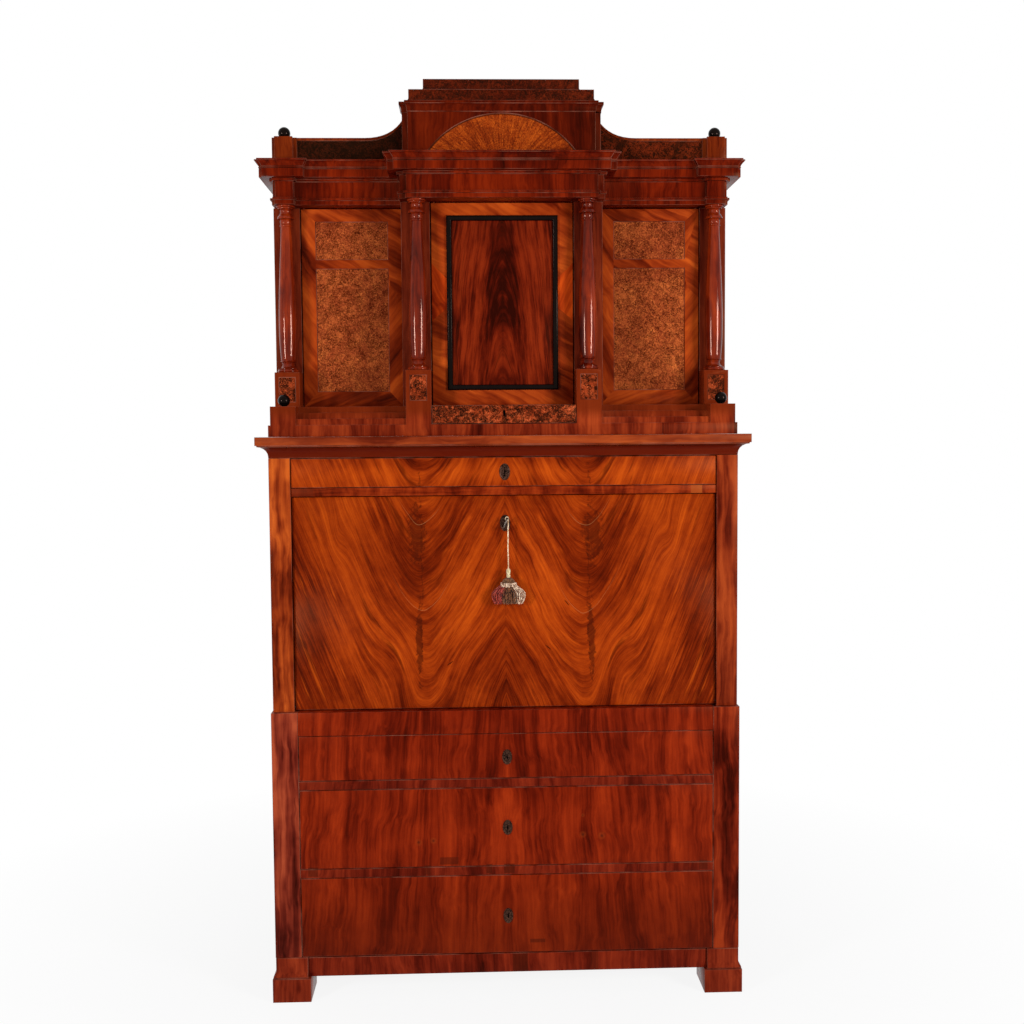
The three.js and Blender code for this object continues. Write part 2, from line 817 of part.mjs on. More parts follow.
function buildTassel(group) {
  const points = cordPoints.map(([x, y, z]) => new THREE.Vector3(x, y, keyHeight + z));
  const path = new THREE.CatmullRomCurve3(points);
  const section = new THREE.Shape();
  section.absarc(0, 0, cord.diameter / 2, 0, 2 * Math.PI, false);
  const tube = new THREE.ExtrudeGeometry(section, {
    steps: facetCount.cordSteps,
    curveSegments: facetCount.cordSection / 2,
    bevelEnabled: false,
    extrudePath: path,
  });
  piece(group, 'key_cord', toSolid(tube), 'cord');

  const end = points[points.length - 1];
  const top = -gap.fixed;
  const beadFoot = top - tassel.beadHeight;
  const netTop = beadFoot - tassel.lowerBeadHeight;
  const netFoot = netTop - tassel.netHeight;
  const skirtFoot = netFoot - tassel.skirtHeight;
  const beads = [
    [0, netTop - tassel.lowerBead],
    [tassel.lowerBead, netTop],
    [tassel.lowerBead, beadFoot],
    [tassel.bead, beadFoot + tassel.beadHeight / 3],
    [tassel.bead, top - tassel.beadHeight / 3],
    [tassel.bead / 2, top],
    [0, top],
  ];
  const dome = [[0, netFoot]];
  for (let i = 0; i <= facetCount.dome; i += 1) {
    const turn = (i / facetCount.dome) * Math.PI / 2;
    const radius = i === facetCount.dome ? 0 : tassel.net * Math.cos(turn);
    dome.push([radius, netFoot + tassel.netHeight * Math.sin(turn)]);
  }
  const skirt = [[0, skirtFoot]];
  for (const [outShare, upShare] of skirtShares) {
    skirt.push([tassel.skirt * outShare, skirtFoot + tassel.skirtHeight * upShare]);
  }
  skirt.push([0, netFoot + tassel.netHeight / 2]);
  const solid = join([
    flattened(beads, end, 1),
    flattened(dome, end, tassel.netDepthShare),
    flattened(skirt, end, tassel.skirtDepthShare),
  ]);
  piece(group, 'tassel', solid, 'tassel');
}

// A turned shape hanging from a point, with its depth reduced
function flattened(profile, place, depthShare) {
  const points = profile.map(([radius, height]) => new THREE.Vector2(radius, height));
  const lathe = new THREE.LatheGeometry(points, facetCount.tassel);
  lathe.rotateX(Math.PI / 2);
  lathe.scale(1, depthShare, 1);
  lathe.translate(place.x, place.y, place.z);
  return toSolid(lathe);
}

// Pigeonholes and small drawers, which stand on the writing floor
function buildInterior(group) {
  const half = cheekInner - gap.fixed;
  const front = flapBack + interior.setback;
  const back = desk.depth - board.back - 2 * gap.fixed;
  const low = writingTop + gap.fixed;
  const top = desk.postHeight - desk.railFromTop - interior.headroom;
  const wall = interior.wall;
  const shelf = top - interior.shelfBelowTop;
  const stackOuter = half - wall;
  const stackInner = stackOuter - interior.stackWidth;
  const middle = (low + wall + shelf) / 2;
  const depth = [front - wall, back - wall];
  const levels = [[low + wall, middle - wall / 2], [middle + wall / 2, shelf]];
  const holeHeight = [shelf + wall, top - wall];
  const hollows = [
    block(centred(stackInner - wall), depth, [low + wall, shelf]),
    block(centred(interior.pigeonholeDivider - wall / 2), depth, holeHeight),
  ];
  for (const [, side] of sides) {
    for (const level of levels) {
      hollows.push(block(span(side, stackInner, stackOuter), depth, level));
    }
    const hole = span(side, interior.pigeonholeDivider + wall / 2, stackOuter);
    hollows.push(block(hole, depth, holeHeight));
  }
  const body = block(centred(half), [front, back], [low, top]);
  piece(group, 'interior_case', cut(body, hollows), 'mahogany');
  for (const [name, side] of sides) {
    levels.forEach(([levelFoot, levelTop], i) => {
      const x = span(side, stackInner + gap.drawer, stackOuter - gap.drawer);
      const z = [levelFoot + gap.drawer, levelTop - gap.drawer];
      const centre = (x[0] + x[1]) / 2;
      const height = (z[0] + z[1]) / 2;
      const knob = [front - interior.knobLength, front + interior.drawerWall];
      const solid = join([
        block(x, [front, front + interior.drawerFront], z),
        drawerBox(x, [front, front + interior.drawerDepth], z, interior.drawerWall, interior.drawerWall),
        rod('y', interior.knob, knob[0], knob[1], centre, height, facetCount.knob),
      ]);
      piece(group, `interior_drawer_${name}_${i + 1}`, solid, 'mahogany');
    });
  }
}

// Upper cabinet, measured from the top of the desk case
function buildUpperCabinet() {
  const group = new THREE.Group();
  buildPlinth(group);
  buildPlinthDrawer(group);
  buildCarcass(group);
  buildColumns(group);
  buildDoors(group);
  buildEntablature(group);
  buildAttic(group);
  buildBalls(group);
  return group;
}

// A square pedestal with a sunk panel in its face
function pedestal(side, axis, front, low) {
  const half = temple.pedestal / 2;
  const x = span(side, axis - half, axis + half);
  const top = upperFloor + temple.pedestalHeight - gap.fixed;
  const solid = block(x, [front, front + temple.pedestal], [low, top]);
  const margin = temple.insetMargin;
  const inset = block(
    [x[0] + margin, x[1] - margin],
    [front - temple.insetDepth, front + temple.insetDepth],
    [upperFloor + temple.insetFoot, top - temple.insetTop],
  );
  return solid.subtract(inset);
}

function buildPlinth(group) {
  const low = gap.fixed;
  const half = temple.pedestal / 2;
  const outerInner = outerColumn - half;
  const outerOuter = outerColumn + half;
  const innerInner = temple.innerColumn - half;
  const innerOuter = temple.innerColumn + half;
  const treadBack = doorFace + door.thickness + gap.fixed;
  const bandTop = temple.bandHeight;
  const rise = temple.plinthHeight / step.count;
  const wall = [low, upperFloor];
  const portico = temple.porticoFront;
  const parts = [
    block(centred(deskHalf), [portico, desk.depth], [low, bandTop]),
    block(centred(templeHalf), [desk.depth - board.back, desk.depth], wall),
  ];
  for (const [, side] of sides) {
    const guide = span(side, innerInner, innerInner + board.shelf);
    const guideBack = portico + plinthDrawer.length + board.side;
    parts.push(block(span(side, outerInner, outerOuter), [portico, doorFace], wall));
    parts.push(block(span(side, templeHalf - board.side, templeHalf), [temple.bayFront, desk.depth], wall));
    parts.push(pedestal(side, outerColumn, temple.bayFront, low));
    parts.push(pedestal(side, temple.innerColumn, portico, low));
    parts.push(block(span(side, innerInner, innerOuter), [portico + temple.insetMargin, treadBack], wall));
    parts.push(block(guide, [centerFace, guideBack], wall));
    for (let i = 0; i < step.count; i += 1) {
      const treadFront = portico + step.firstInset + i * step.tread;
      const top = bandTop + (i + 1) * rise;
      parts.push(block(span(side, innerInner, outerOuter), [treadFront, treadBack], [low, top]));
    }
  }
  const shelfFront = portico + board.drawerFront + gap.drawer;
  parts.push(block(centred(innerInner), [shelfFront, treadBack], [upperFloor - board.shelf, upperFloor]));
  for (const { x, y } of doorPivots()) {
    const pinTop = upperFloor + door.bottomGap + door.pinLength;
    parts.push(rod('z', door.pin, upperFloor - door.pinLength, pinTop, x, y, facetCount.pivot));
  }
  piece(group, 'upper_plinth', join(parts), 'mahogany');
}

function buildPlinthDrawer(group) {
  const opening = temple.innerColumn - temple.pedestal / 2;
  const x = centred(opening - gap.drawer);
  const front = temple.porticoFront;
  const frontBack = front + board.drawerFront;
  const low = temple.bandHeight + gap.drawer;
  const boxHalf = opening - gap.drawerSide;
  const solid = join([
    block(x, [front, frontBack], [low, upperFloor]),
    drawerBox(
      centred(boxHalf),
      [frontBack - board.drawerSide, front + plinthDrawer.length],
      [low, upperFloor - plinthDrawer.boxTop],
      board.drawerSide,
      board.drawerBottom,
    ),
  ]);
  piece(group, 'plinth_drawer', solid, 'burr');
}

function buildCarcass(group) {
  const low = upperFloor + gap.fixed;
  const high = entablatureFoot - gap.fixed;
  const outerInner = outerColumn - temple.pedestal / 2;
  const innerInner = temple.innerColumn - temple.pedestal / 2;
  const bayFront = doorFace + door.thickness + gap.behindLeaf;
  const centerFront = centerFace + door.thickness + gap.behindLeaf;
  const backFace = temple.back - gap.fixed;
  const partition = [temple.porticoWall - temple.partition, temple.porticoWall];
  const boards = [[low, low + board.shelf], [high - board.shelf, high]];
  const parts = [];
  for (const z of boards) {
    parts.push(block(centred(templeHalf), [bayFront, backFace], z));
    parts.push(block(centred(temple.porticoWall), [centerFront, bayFront], z));
  }
  const shelf = (low + high) / 2;
  parts.push(block(centred(templeHalf), [bayFront + board.side, backFace], [shelf, shelf + board.shelf]));
  const height = [low, high];
  for (const [, side] of sides) {
    parts.push(block(span(side, outerInner, wallHalf), [doorFace, bayFront], height));
    parts.push(block(span(side, templeHalf - board.side, wallHalf), [doorFace, desk.depth], height));
    parts.push(block(span(side, innerInner, temple.porticoWall), [centerFace, centerFront], height));
    parts.push(block(span(side, partition[0], partition[1]), [centerFace, backFace], height));
  }
  parts.push(block(centred(templeHalf), [backFace, desk.depth], height));
  piece(group, 'upper_carcass', join(parts), 'mahogany');
}

// Door leaves, with the place of the pins that each one turns on
function doorPivots() {
  const outer = outerColumn - temple.pedestal / 2 - gap.door;
  const center = temple.innerColumn - temple.pedestal / 2 - gap.door;
  const inner = temple.porticoWall + gap.door;
  const inset = door.pivotInset;
  const side = { face: doorFace, y: doorFace + inset };
  const middle = { face: centerFace, y: centerFace + inset };
  return [
    { name: 'door_left', span: [-outer, -inner], x: -outer + inset, ...side },
    { name: 'door_right', span: [inner, outer], x: outer - inset, ...side },
    { name: 'door_center', span: [-center, center], x: -center + inset, ...middle },
  ];
}

function buildDoors(group) {
  const low = upperFloor + door.bottomGap;
  const high = entablatureFoot - door.topGap;
  const deep = door.pinLength + gap.door;
  const radius = door.pin + gap.pin;
  for (const leaf of doorPivots()) {
    const solid = block(leaf.span, [leaf.face, leaf.face + door.thickness], [low, high]);
    const tools = leaf.name === 'door_center' ? [] : sidePanels(leaf, low, high);
    tools.push(rod('z', radius, low - deep, low + deep, leaf.x, leaf.y, facetCount.pivot));
    tools.push(rod('z', radius, high - deep, high + deep, leaf.x, leaf.y, facetCount.pivot));
    piece(group, leaf.name, cut(solid, tools), 'mahogany');
  }
  const leafFace = centerFace - gap.fixed;
  const rail = [low + centerPanel.bottom - centerPanel.mould, high - centerPanel.top + centerPanel.mould];
  const outer = centerPanel.half + centerPanel.mould;
  const crown = centerPanel.mould / 2;
  const bars = [
    ...sides.map(([, side]) => halfRound('z', rail, side * (centerPanel.half + crown), leafFace)),
    halfRound('x', centred(outer), rail[0] + crown, leafFace),
    halfRound('x', centred(outer), rail[1] - crown, leafFace),
  ];
  piece(group, 'center_door_moulding', join(bars), 'ebonised');
}

function sidePanels(leaf, low, high) {
  const x = [leaf.span[0] + door.stile, leaf.span[1] - door.stile];
  const y = [leaf.face - door.panelDepth, leaf.face + door.panelDepth];
  const crossTop = high - door.crossRailBelow;
  return [
    block(x, y, [crossTop, high - door.topRail]),
    block(x, y, [low + door.bottomRail, crossTop - door.crossRail]),
  ];
}

// A half-round bead along x or z, lying on a vertical face
function halfRound(axis, along, across, face) {
  const shape = new THREE.Shape();
  const half = centerPanel.mould / 2;
  shape.moveTo(-half, 0);
  shape.absellipse(0, 0, half, centerPanel.mouldDepth, Math.PI, 2 * Math.PI, false, 0);
  shape.closePath();
  const options = { depth: along[1] - along[0], bevelEnabled: false, curveSegments: facetCount.bead };
  const geometry = new THREE.ExtrudeGeometry(shape, options);
  if (axis === 'z') {
    geometry.translate(across, face, along[0]);
  } else {
    geometry.rotateY(Math.PI / 2);
    geometry.translate(along[0], face, across);
  }
  return toSolid(geometry);
}

// The column's outline: torus, bell, rings, swelling shaft, astragal and a turned capital
function columnProfile() {
  const height = temple.columnHeight - gap.fixed;
  const outline = Object.values(columnShares).flat();
  const points = outline.map(([radius, level]) => [radius * columnTorus, level * height]);
  return [[0, 0], ...points, [0, height]];
}

function buildColumns(group) {
  const profile = columnProfile();
  const half = temple.pedestal / 2;
  const places = [
    ['outer', outerColumn, temple.bayFront + half],
    ['inner', temple.innerColumn, temple.porticoFront + half],
  ];
  for (const [name, side] of sides) {
    for (const [row, x, y] of places) {
      const solid = turned(profile, side * x, y, columnFoot, facetCount.column);
      piece(group, `column_${row}_${name}`, solid, 'mahogany');
    }
  }
}

// Levels of the entablature as projection and height
function entablatureProfile() {
  const levels = [];
  let z = entablatureFoot;
  const member = (out, height) => {
    levels.push([out, z]);
    z += height;
    levels.push([out, z]);
  };
  member(order.architraveOut, order.architrave);
  member(order.filletOut, order.fillet);
  member(0, order.frieze);
  member(order.bedOut, order.bed);
  member(order.coronaOut, order.corona);
  const reach = order.crownOut - order.coronaOut;
  const crown = crownShares.map(([out, level]) => [order.coronaOut + out * reach, z + level * order.crown]);
  return [...levels, ...crown];
}

function buildEntablature(group) {
  const profile = entablatureProfile();
  const centreDepth = doorFace + door.thickness;
  const parts = [
    moulded(centred(templeHalf), order.mainFront, desk.depth, profile),
    moulded(centred(temple.porticoWall), order.porticoMainFront, centreDepth, profile),
    moulded(centred(order.porticoHalf), order.porticoFront, centreDepth, profile),
  ];
  for (const [, side] of sides) {
    const x = span(side, outerColumn - order.ressautHalf, outerColumn + order.ressautHalf);
    parts.push(moulded(x, order.ressautFront, centreDepth, profile));
  }
  for (const { x, y } of doorPivots()) {
    const pinFoot = entablatureFoot - door.topGap - door.pinLength;
    parts.push(rod('z', door.pin, pinFoot, entablatureFoot + door.pinLength, x, y, facetCount.pivot));
  }
  const hollow = block(
    centred(templeHalf - order.hollowMargin),
    [centreDepth + board.side, desk.depth - board.side],
    [entablatureFoot - order.fillet, atticFoot - order.dustBoard],
  );
  piece(group, 'entablature', join(parts).subtract(hollow), 'mahogany');
}

// Pediment block with its shoulders, cap and lunette, the stepped crest, the galleries and corner posts
function buildAttic(group) {
  const low = atticFoot + gap.fixed;
  const cap = low + attic.height;
  const capTop = cap + attic.capHeight;
  const back = attic.front + attic.depth;
  const capProfile = capShares.map(([out, level]) => [out * attic.capOut, cap + level * attic.capHeight]);
  const profile = [[0, low], [0, cap], ...capProfile];
  const lunette = new THREE.Shape();
  const rise = attic.lunetteRise;
  const radius = (attic.lunetteHalf ** 2 + rise ** 2) / (2 * rise);
  const start = Math.asin((radius - rise) / radius);
  lunette.absarc(0, low + rise - radius, radius, start, Math.PI - start, false);
  lunette.closePath();
  const deep = attic.lunetteDepth;
  const recess = plate(lunette, attic.front - deep, 2 * deep, facetCount.lunette);
  const pediment = join([
    moulded(centred(attic.half), attic.front, attic.shoulderBack, profile),
    moulded(centred(attic.shoulderHalf), attic.shoulderFront, attic.shoulderBack, profile),
    block(centred(attic.half), [attic.shoulderFront, back], [low, capTop]),
  ]);
  piece(group, 'pediment', pediment.subtract(recess), 'mahogany');

  const crestFoot = capTop + gap.fixed;
  const upperFoot = crestFoot + attic.crestLower;
  const upperInset = attic.half - attic.crestUpperHalf;
  const cove = attic.crestCove;
  const lower = moulded(centred(attic.half), attic.front + attic.crestInset, back, [
    [0, crestFoot],
    [-attic.crestFoot, crestFoot + cove],
    [-attic.crestFoot, upperFoot],
  ]);
  const upperX = centred(attic.crestUpperHalf);
  const upper = moulded(upperX, attic.front + attic.crestInset + upperInset / 2, back - upperInset / 2, [
    [cove, upperFoot - cove],
    [cove, upperFoot],
    [cove / 3, upperFoot + cove / 3],
    [0, upperFoot + cove],
    [0, upperFoot + attic.crestUpper],
  ]);
  piece(group, 'crest', join([lower, upper]), 'burr');
  buildGalleries(group, low);
}

function buildGalleries(group, low) {
  const inner = attic.half + gap.fixed;
  const flatTop = low + gallery.height;
  const bend = gallery.curveTo + (gallery.curveFrom - gallery.curveTo) * gallery.bendShare;
  const crownTop = flatTop + gallery.rise;
  for (const [name, side] of sides) {
    const outline = (drop) => {
      const shape = new THREE.Shape();
      shape.moveTo(side * inner, low);
      shape.lineTo(side * galleryOuter, low);
      shape.lineTo(side * galleryOuter, flatTop - drop);
      shape.lineTo(side * gallery.curveFrom, flatTop - drop);
      shape.quadraticCurveTo(side * bend, flatTop - drop, side * gallery.curveTo, crownTop - drop);
      shape.lineTo(side * inner, crownTop - drop);
      shape.closePath();
      return shape;
    };
    const wide = gallery.thickness + 2 * gallery.capOut;
    const capFront = gallery.front - gallery.capOut;
    const cap = plate(outline(0), capFront, wide, facetCount.sweep);
    const trim = plate(outline(gallery.cap), capFront - gallery.capOut, 2 * wide, facetCount.sweep);
    const wall = plate(outline(0), gallery.front, gallery.thickness, facetCount.sweep);
    const postHeight = [low, low + cornerPost.height];
    const postBack = cornerPost.shoulder + cornerPost.depth;
    const pier = span(side, outerColumn - cornerPost.half, outerColumn + cornerPost.half);
    const shoulder = span(side, galleryOuter, templeHalf);
    const post = join([
      block(pier, [cornerPost.front, postBack], postHeight),
      block(shoulder, [cornerPost.shoulder, postBack], postHeight),
    ]);
    piece(group, `gallery_${name}`, join([wall, cap.subtract(trim), post]), 'burr');
  }
}

// A ball's outline, cut flat at its foot, with its centre at a height above it
function ballProfile(centre) {
  const start = Math.acos(centre / ball.radius);
  const rings = facetCount.ballRings;
  const profile = [[0, 0]];
  for (let i = 0; i <= rings; i += 1) {
    const turn = start + (Math.PI - start) * i / rings;
    const radius = i === rings ? 0 : ball.radius * Math.sin(turn);
    profile.push([radius, centre - ball.radius * Math.cos(turn)]);
  }
  return profile;
}

// Two balls on the cheek blocks and two on the corner posts
function buildBalls(group) {
  const finialFoot = atticFoot + cornerPost.height + 2 * gap.fixed;
  const places = [
    ['ball', temple.porticoFront + ball.fromFront, upperFloor + gap.fixed, ball.cheekCentre],
    ['finial', cornerPost.front + cornerPost.half, finialFoot, ball.finialCentre],
  ];
  for (const [name, side] of sides) {
    for (const [kind, y, z, centre] of places) {
      const solid = turned(ballProfile(centre), side * outerColumn, y, z, facetCount.ball);
      piece(group, `${kind}_${name}`, solid, 'ebonised');
    }
  }
}

const secretaire = new THREE.Group();
const baseChest = buildBaseChest();
const deskCase = buildDeskCase();
const upperCabinet = buildUpperCabinet();
deskCase.position.z = base.height;
upperCabinet.position.z = base.height + deskHeight;
secretaire.add(baseChest, deskCase, upperCabinet);
secretaire.position.y = (desk.slabProjection - desk.depth) / 2;

export default secretaire;
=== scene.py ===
import json
import math
import random

import bmesh
import bpy
from mathutils import Matrix, Vector

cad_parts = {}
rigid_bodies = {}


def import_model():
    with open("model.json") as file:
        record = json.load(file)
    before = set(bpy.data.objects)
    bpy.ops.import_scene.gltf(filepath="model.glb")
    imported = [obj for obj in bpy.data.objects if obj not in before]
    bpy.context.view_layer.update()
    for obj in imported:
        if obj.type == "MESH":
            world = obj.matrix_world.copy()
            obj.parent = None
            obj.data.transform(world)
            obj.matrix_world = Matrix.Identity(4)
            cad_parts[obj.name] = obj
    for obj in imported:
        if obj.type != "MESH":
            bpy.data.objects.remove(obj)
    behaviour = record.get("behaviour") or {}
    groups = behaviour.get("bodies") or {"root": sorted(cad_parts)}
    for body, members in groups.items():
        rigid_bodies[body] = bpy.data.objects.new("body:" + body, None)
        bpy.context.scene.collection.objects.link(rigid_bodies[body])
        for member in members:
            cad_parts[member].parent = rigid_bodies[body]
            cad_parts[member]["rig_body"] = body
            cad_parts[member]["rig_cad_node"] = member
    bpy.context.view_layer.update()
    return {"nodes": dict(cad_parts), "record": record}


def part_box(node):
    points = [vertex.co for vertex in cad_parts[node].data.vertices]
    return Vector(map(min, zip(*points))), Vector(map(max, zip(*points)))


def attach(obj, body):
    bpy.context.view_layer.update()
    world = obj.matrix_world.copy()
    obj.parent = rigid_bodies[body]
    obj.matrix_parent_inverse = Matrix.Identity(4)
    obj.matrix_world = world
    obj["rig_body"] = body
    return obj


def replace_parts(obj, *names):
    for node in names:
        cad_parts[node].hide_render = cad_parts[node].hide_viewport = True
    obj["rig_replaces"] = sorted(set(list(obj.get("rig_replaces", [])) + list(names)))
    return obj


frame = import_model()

mm = 0.001
scene = bpy.context.scene
nodes = frame["nodes"]
sides = ("left", "right")


# Short ways to add nodes to a tree
class Graph:
    def __init__(self, tree):
        self.tree = tree

    def feed(self, socket, value):
        if isinstance(value, bpy.types.NodeSocket):
            self.tree.links.new(value, socket)
        elif value is not None:
            socket.default_value = value

    def add(self, kind, *feeds, out=0, **settings):   # a key with a capital letter is a socket
        node = self.tree.nodes.new("ShaderNode" + kind)
        for key, value in settings.items():
            if not key[0].isupper():
                setattr(node, key, value)
        for key, value in settings.items():
            if key[0].isupper():
                self.feed(node.inputs[key], value)
        for socket, value in zip(node.inputs, feeds):
            self.feed(socket, value)
        return node.outputs[out]

    def math(self, operation, *values):
        return self.add("Math", *values, operation=operation)

    def plus(self, first, second):
        return self.math("ADD", first, second)

    def less(self, first, second):
        return self.math("SUBTRACT", first, second)

    def times(self, first, second):
        return self.math("MULTIPLY", first, second)

    def over(self, first, second):
        return self.math("DIVIDE", first, second)

    def timesPlus(self, first, second, third):
        return self.math("MULTIPLY_ADD", first, second, third)

    def power(self, value):
        return self.math("EXPONENT", value)

    def gap(self, first, second=None):   # how far apart two numbers are, or one is from nought
        return self.math("ABSOLUTE", first if second is None else self.less(first, second))

    def reach(self, first, second):   # the long side of a right triangle
        return self.math("SQRT", self.timesPlus(first, first, self.times(second, second)))

    def seen(self):   # 1 for rays that show the background: seen, mirrored or through glass
        rays = self.tree.nodes.new("ShaderNodeLightPath").outputs
        total = rays["Is Camera Ray"]
        for name in ("Is Glossy Ray", "Is Transmission Ray"):
            total = self.math("MAXIMUM", total, rays[name])
        return total


# Camera, lamps and floor
studio = {
    "lens": 42.89, "sensor": 36, "farthest": 60,
    "place": (-0.088, -3.223, 1.404), "yaw": 2.01, "pitch": 3.56, "roll": -0.44,
    "ambient": 0.3, "aim": (0, -0.2, 1.4),
    "lamps": {
        "keyLamp": {"place": (3.0, -3.0, 1.75), "size": (1.0, 1.15), "watts": 142},
        "fillLamp": {"place": (-3.0, -3.0, 1.55), "size": (0.6, 1.1), "watts": 106},
    },
    "floorHalf": 9, "floorDrop": 0.5 * mm, "floorTone": (0.72, 0.72, 0.72, 1), "floorRough": 0.9,
    "floorGlow": (0.5, 1.9, 0.88, 1.0),   # from and to how far away, and the share of pure white there
}


def buildStudio():
    scene.view_settings.view_transform = "Standard"
    yaw, pitch, roll = (math.radians(studio[key]) for key in ("yaw", "pitch", "roll"))
    forward = Vector((math.sin(yaw) * math.cos(pitch), math.cos(yaw) * math.cos(pitch), -math.sin(pitch)))
    right = Vector((math.cos(yaw), -math.sin(yaw), 0))
    up = right.cross(forward)
    leanRight = right * math.cos(roll) + up * math.sin(roll)
    leanUp = up * math.cos(roll) - right * math.sin(roll)
    turn = Matrix((leanRight, leanUp, -forward)).transposed()
    bpy.ops.object.camera_add(location=studio["place"], rotation=turn.to_euler())
    camera = bpy.context.object
    camera.data.lens = studio["lens"]
    camera.data.sensor_width = studio["sensor"]
    camera.data.clip_end = studio["farthest"]
    scene.camera = camera

    for name, lamp in studio["lamps"].items():
        aim = Vector(studio["aim"]) - Vector(lamp["place"])
        turn = aim.to_track_quat("-Z", "Y").to_euler()
        bpy.ops.object.light_add(type="AREA", location=lamp["place"], rotation=turn)
        light = bpy.context.object
        light.name = name
        light.data.shape = "RECTANGLE"
        light.data.size, light.data.size_y = lamp["size"]
        light.data.energy = lamp["watts"]

    world = bpy.data.worlds.new("studioWorld")
    scene.world = world
    world.use_nodes = True
    g = Graph(world.node_tree)
    sky = g.tree.nodes["Background"].inputs
    g.feed(sky["Color"], (1, 1, 1, 1))
    g.feed(sky["Strength"], g.add("MapRange", g.seen(), 0, 1, studio["ambient"], 1))

    bpy.ops.mesh.primitive_plane_add(size=2 * studio["floorHalf"], location=(0, 0, -studio["floorDrop"]))
    floor = bpy.context.object
    floor.name = "studioFloor"
    paint = bpy.data.materials.new("studioFloor")
    paint.use_nodes = True
    g = Graph(paint.node_tree)
    shader = g.tree.nodes["Principled BSDF"]
    g.feed(shader.inputs["Base Color"], studio["floorTone"])
    g.feed(shader.inputs["Roughness"], studio["floorRough"])
    away = g.add("VectorMath", g.add("TexCoord", out=3), operation="LENGTH", out=1)
    share = g.times(g.seen(), g.add("MapRange", away, *studio["floorGlow"]))
    mixed = g.add("MixShader", share, shader.outputs[0], g.add("Emission"))
    g.feed(g.tree.nodes["Material Output"].inputs["Surface"], mixed)
    floor.data.materials.append(paint)
    print("studio ready")


# Finishes: how much they shine and in what colour, then the middle shade of each veneer
polish = {"specular": 0.08, "sheen": (1.0, 0.45, 0.2, 1), "gloss": 0.24, "glossSheen": (1.0, 0.62, 0.5, 1),
          "spread": 1.25, "burrSpread": 1.4}
woods = {
    # the right desk post's colour is the post colour darkened: painted shade against the stronger key lamp light on it
    "flap": "802805", "drawer": "691705", "rail": "6a1c06", "post": "84300f", "postShaded": "6a200c",
    "stile": "6d2416", "stileRight": "661a09", "apron": "5e1609", "foot": "681e0e", "slab": "762a11",
    # the centre door's colour is the door colour made lighter: painted light against the shade between the columns
    "band": "6d200c", "temple": "510d02", "pediment": "490c02", "door": "822b0b", "doorCentreLit": "9a2e09",
    "carcass": "5a180a", "column": "661804", "pier": "611d06", "inner": "94491c", "panel": "551104",
    "lunette": "8c350c", "crest": "561707",
}


def tint(code):   # a screen colour as written in hex
    parts = [int(code[i:i + 2], 16) / 255 for i in (0, 2, 4)]
    return tuple(c / 12.92 if c <= 0.04045 else ((c + 0.055) / 1.055) ** 2.4 for c in parts) + (1,)


def shades(code, spread=1.0):   # from dark to light round one colour; darker means redder
    red, green, blue, _ = tint(code)
    stops = []
    for position, share in ((0.16, 0.34), (0.36, 0.66), (0.5, 1.0), (0.64, 1.36), (0.84, 1.85)):
        share = 1 + (share - 1) * spread
        stops.append((position, (red * share, green * share ** 1.5, blue * share ** 1.2, 1)))
    return stops


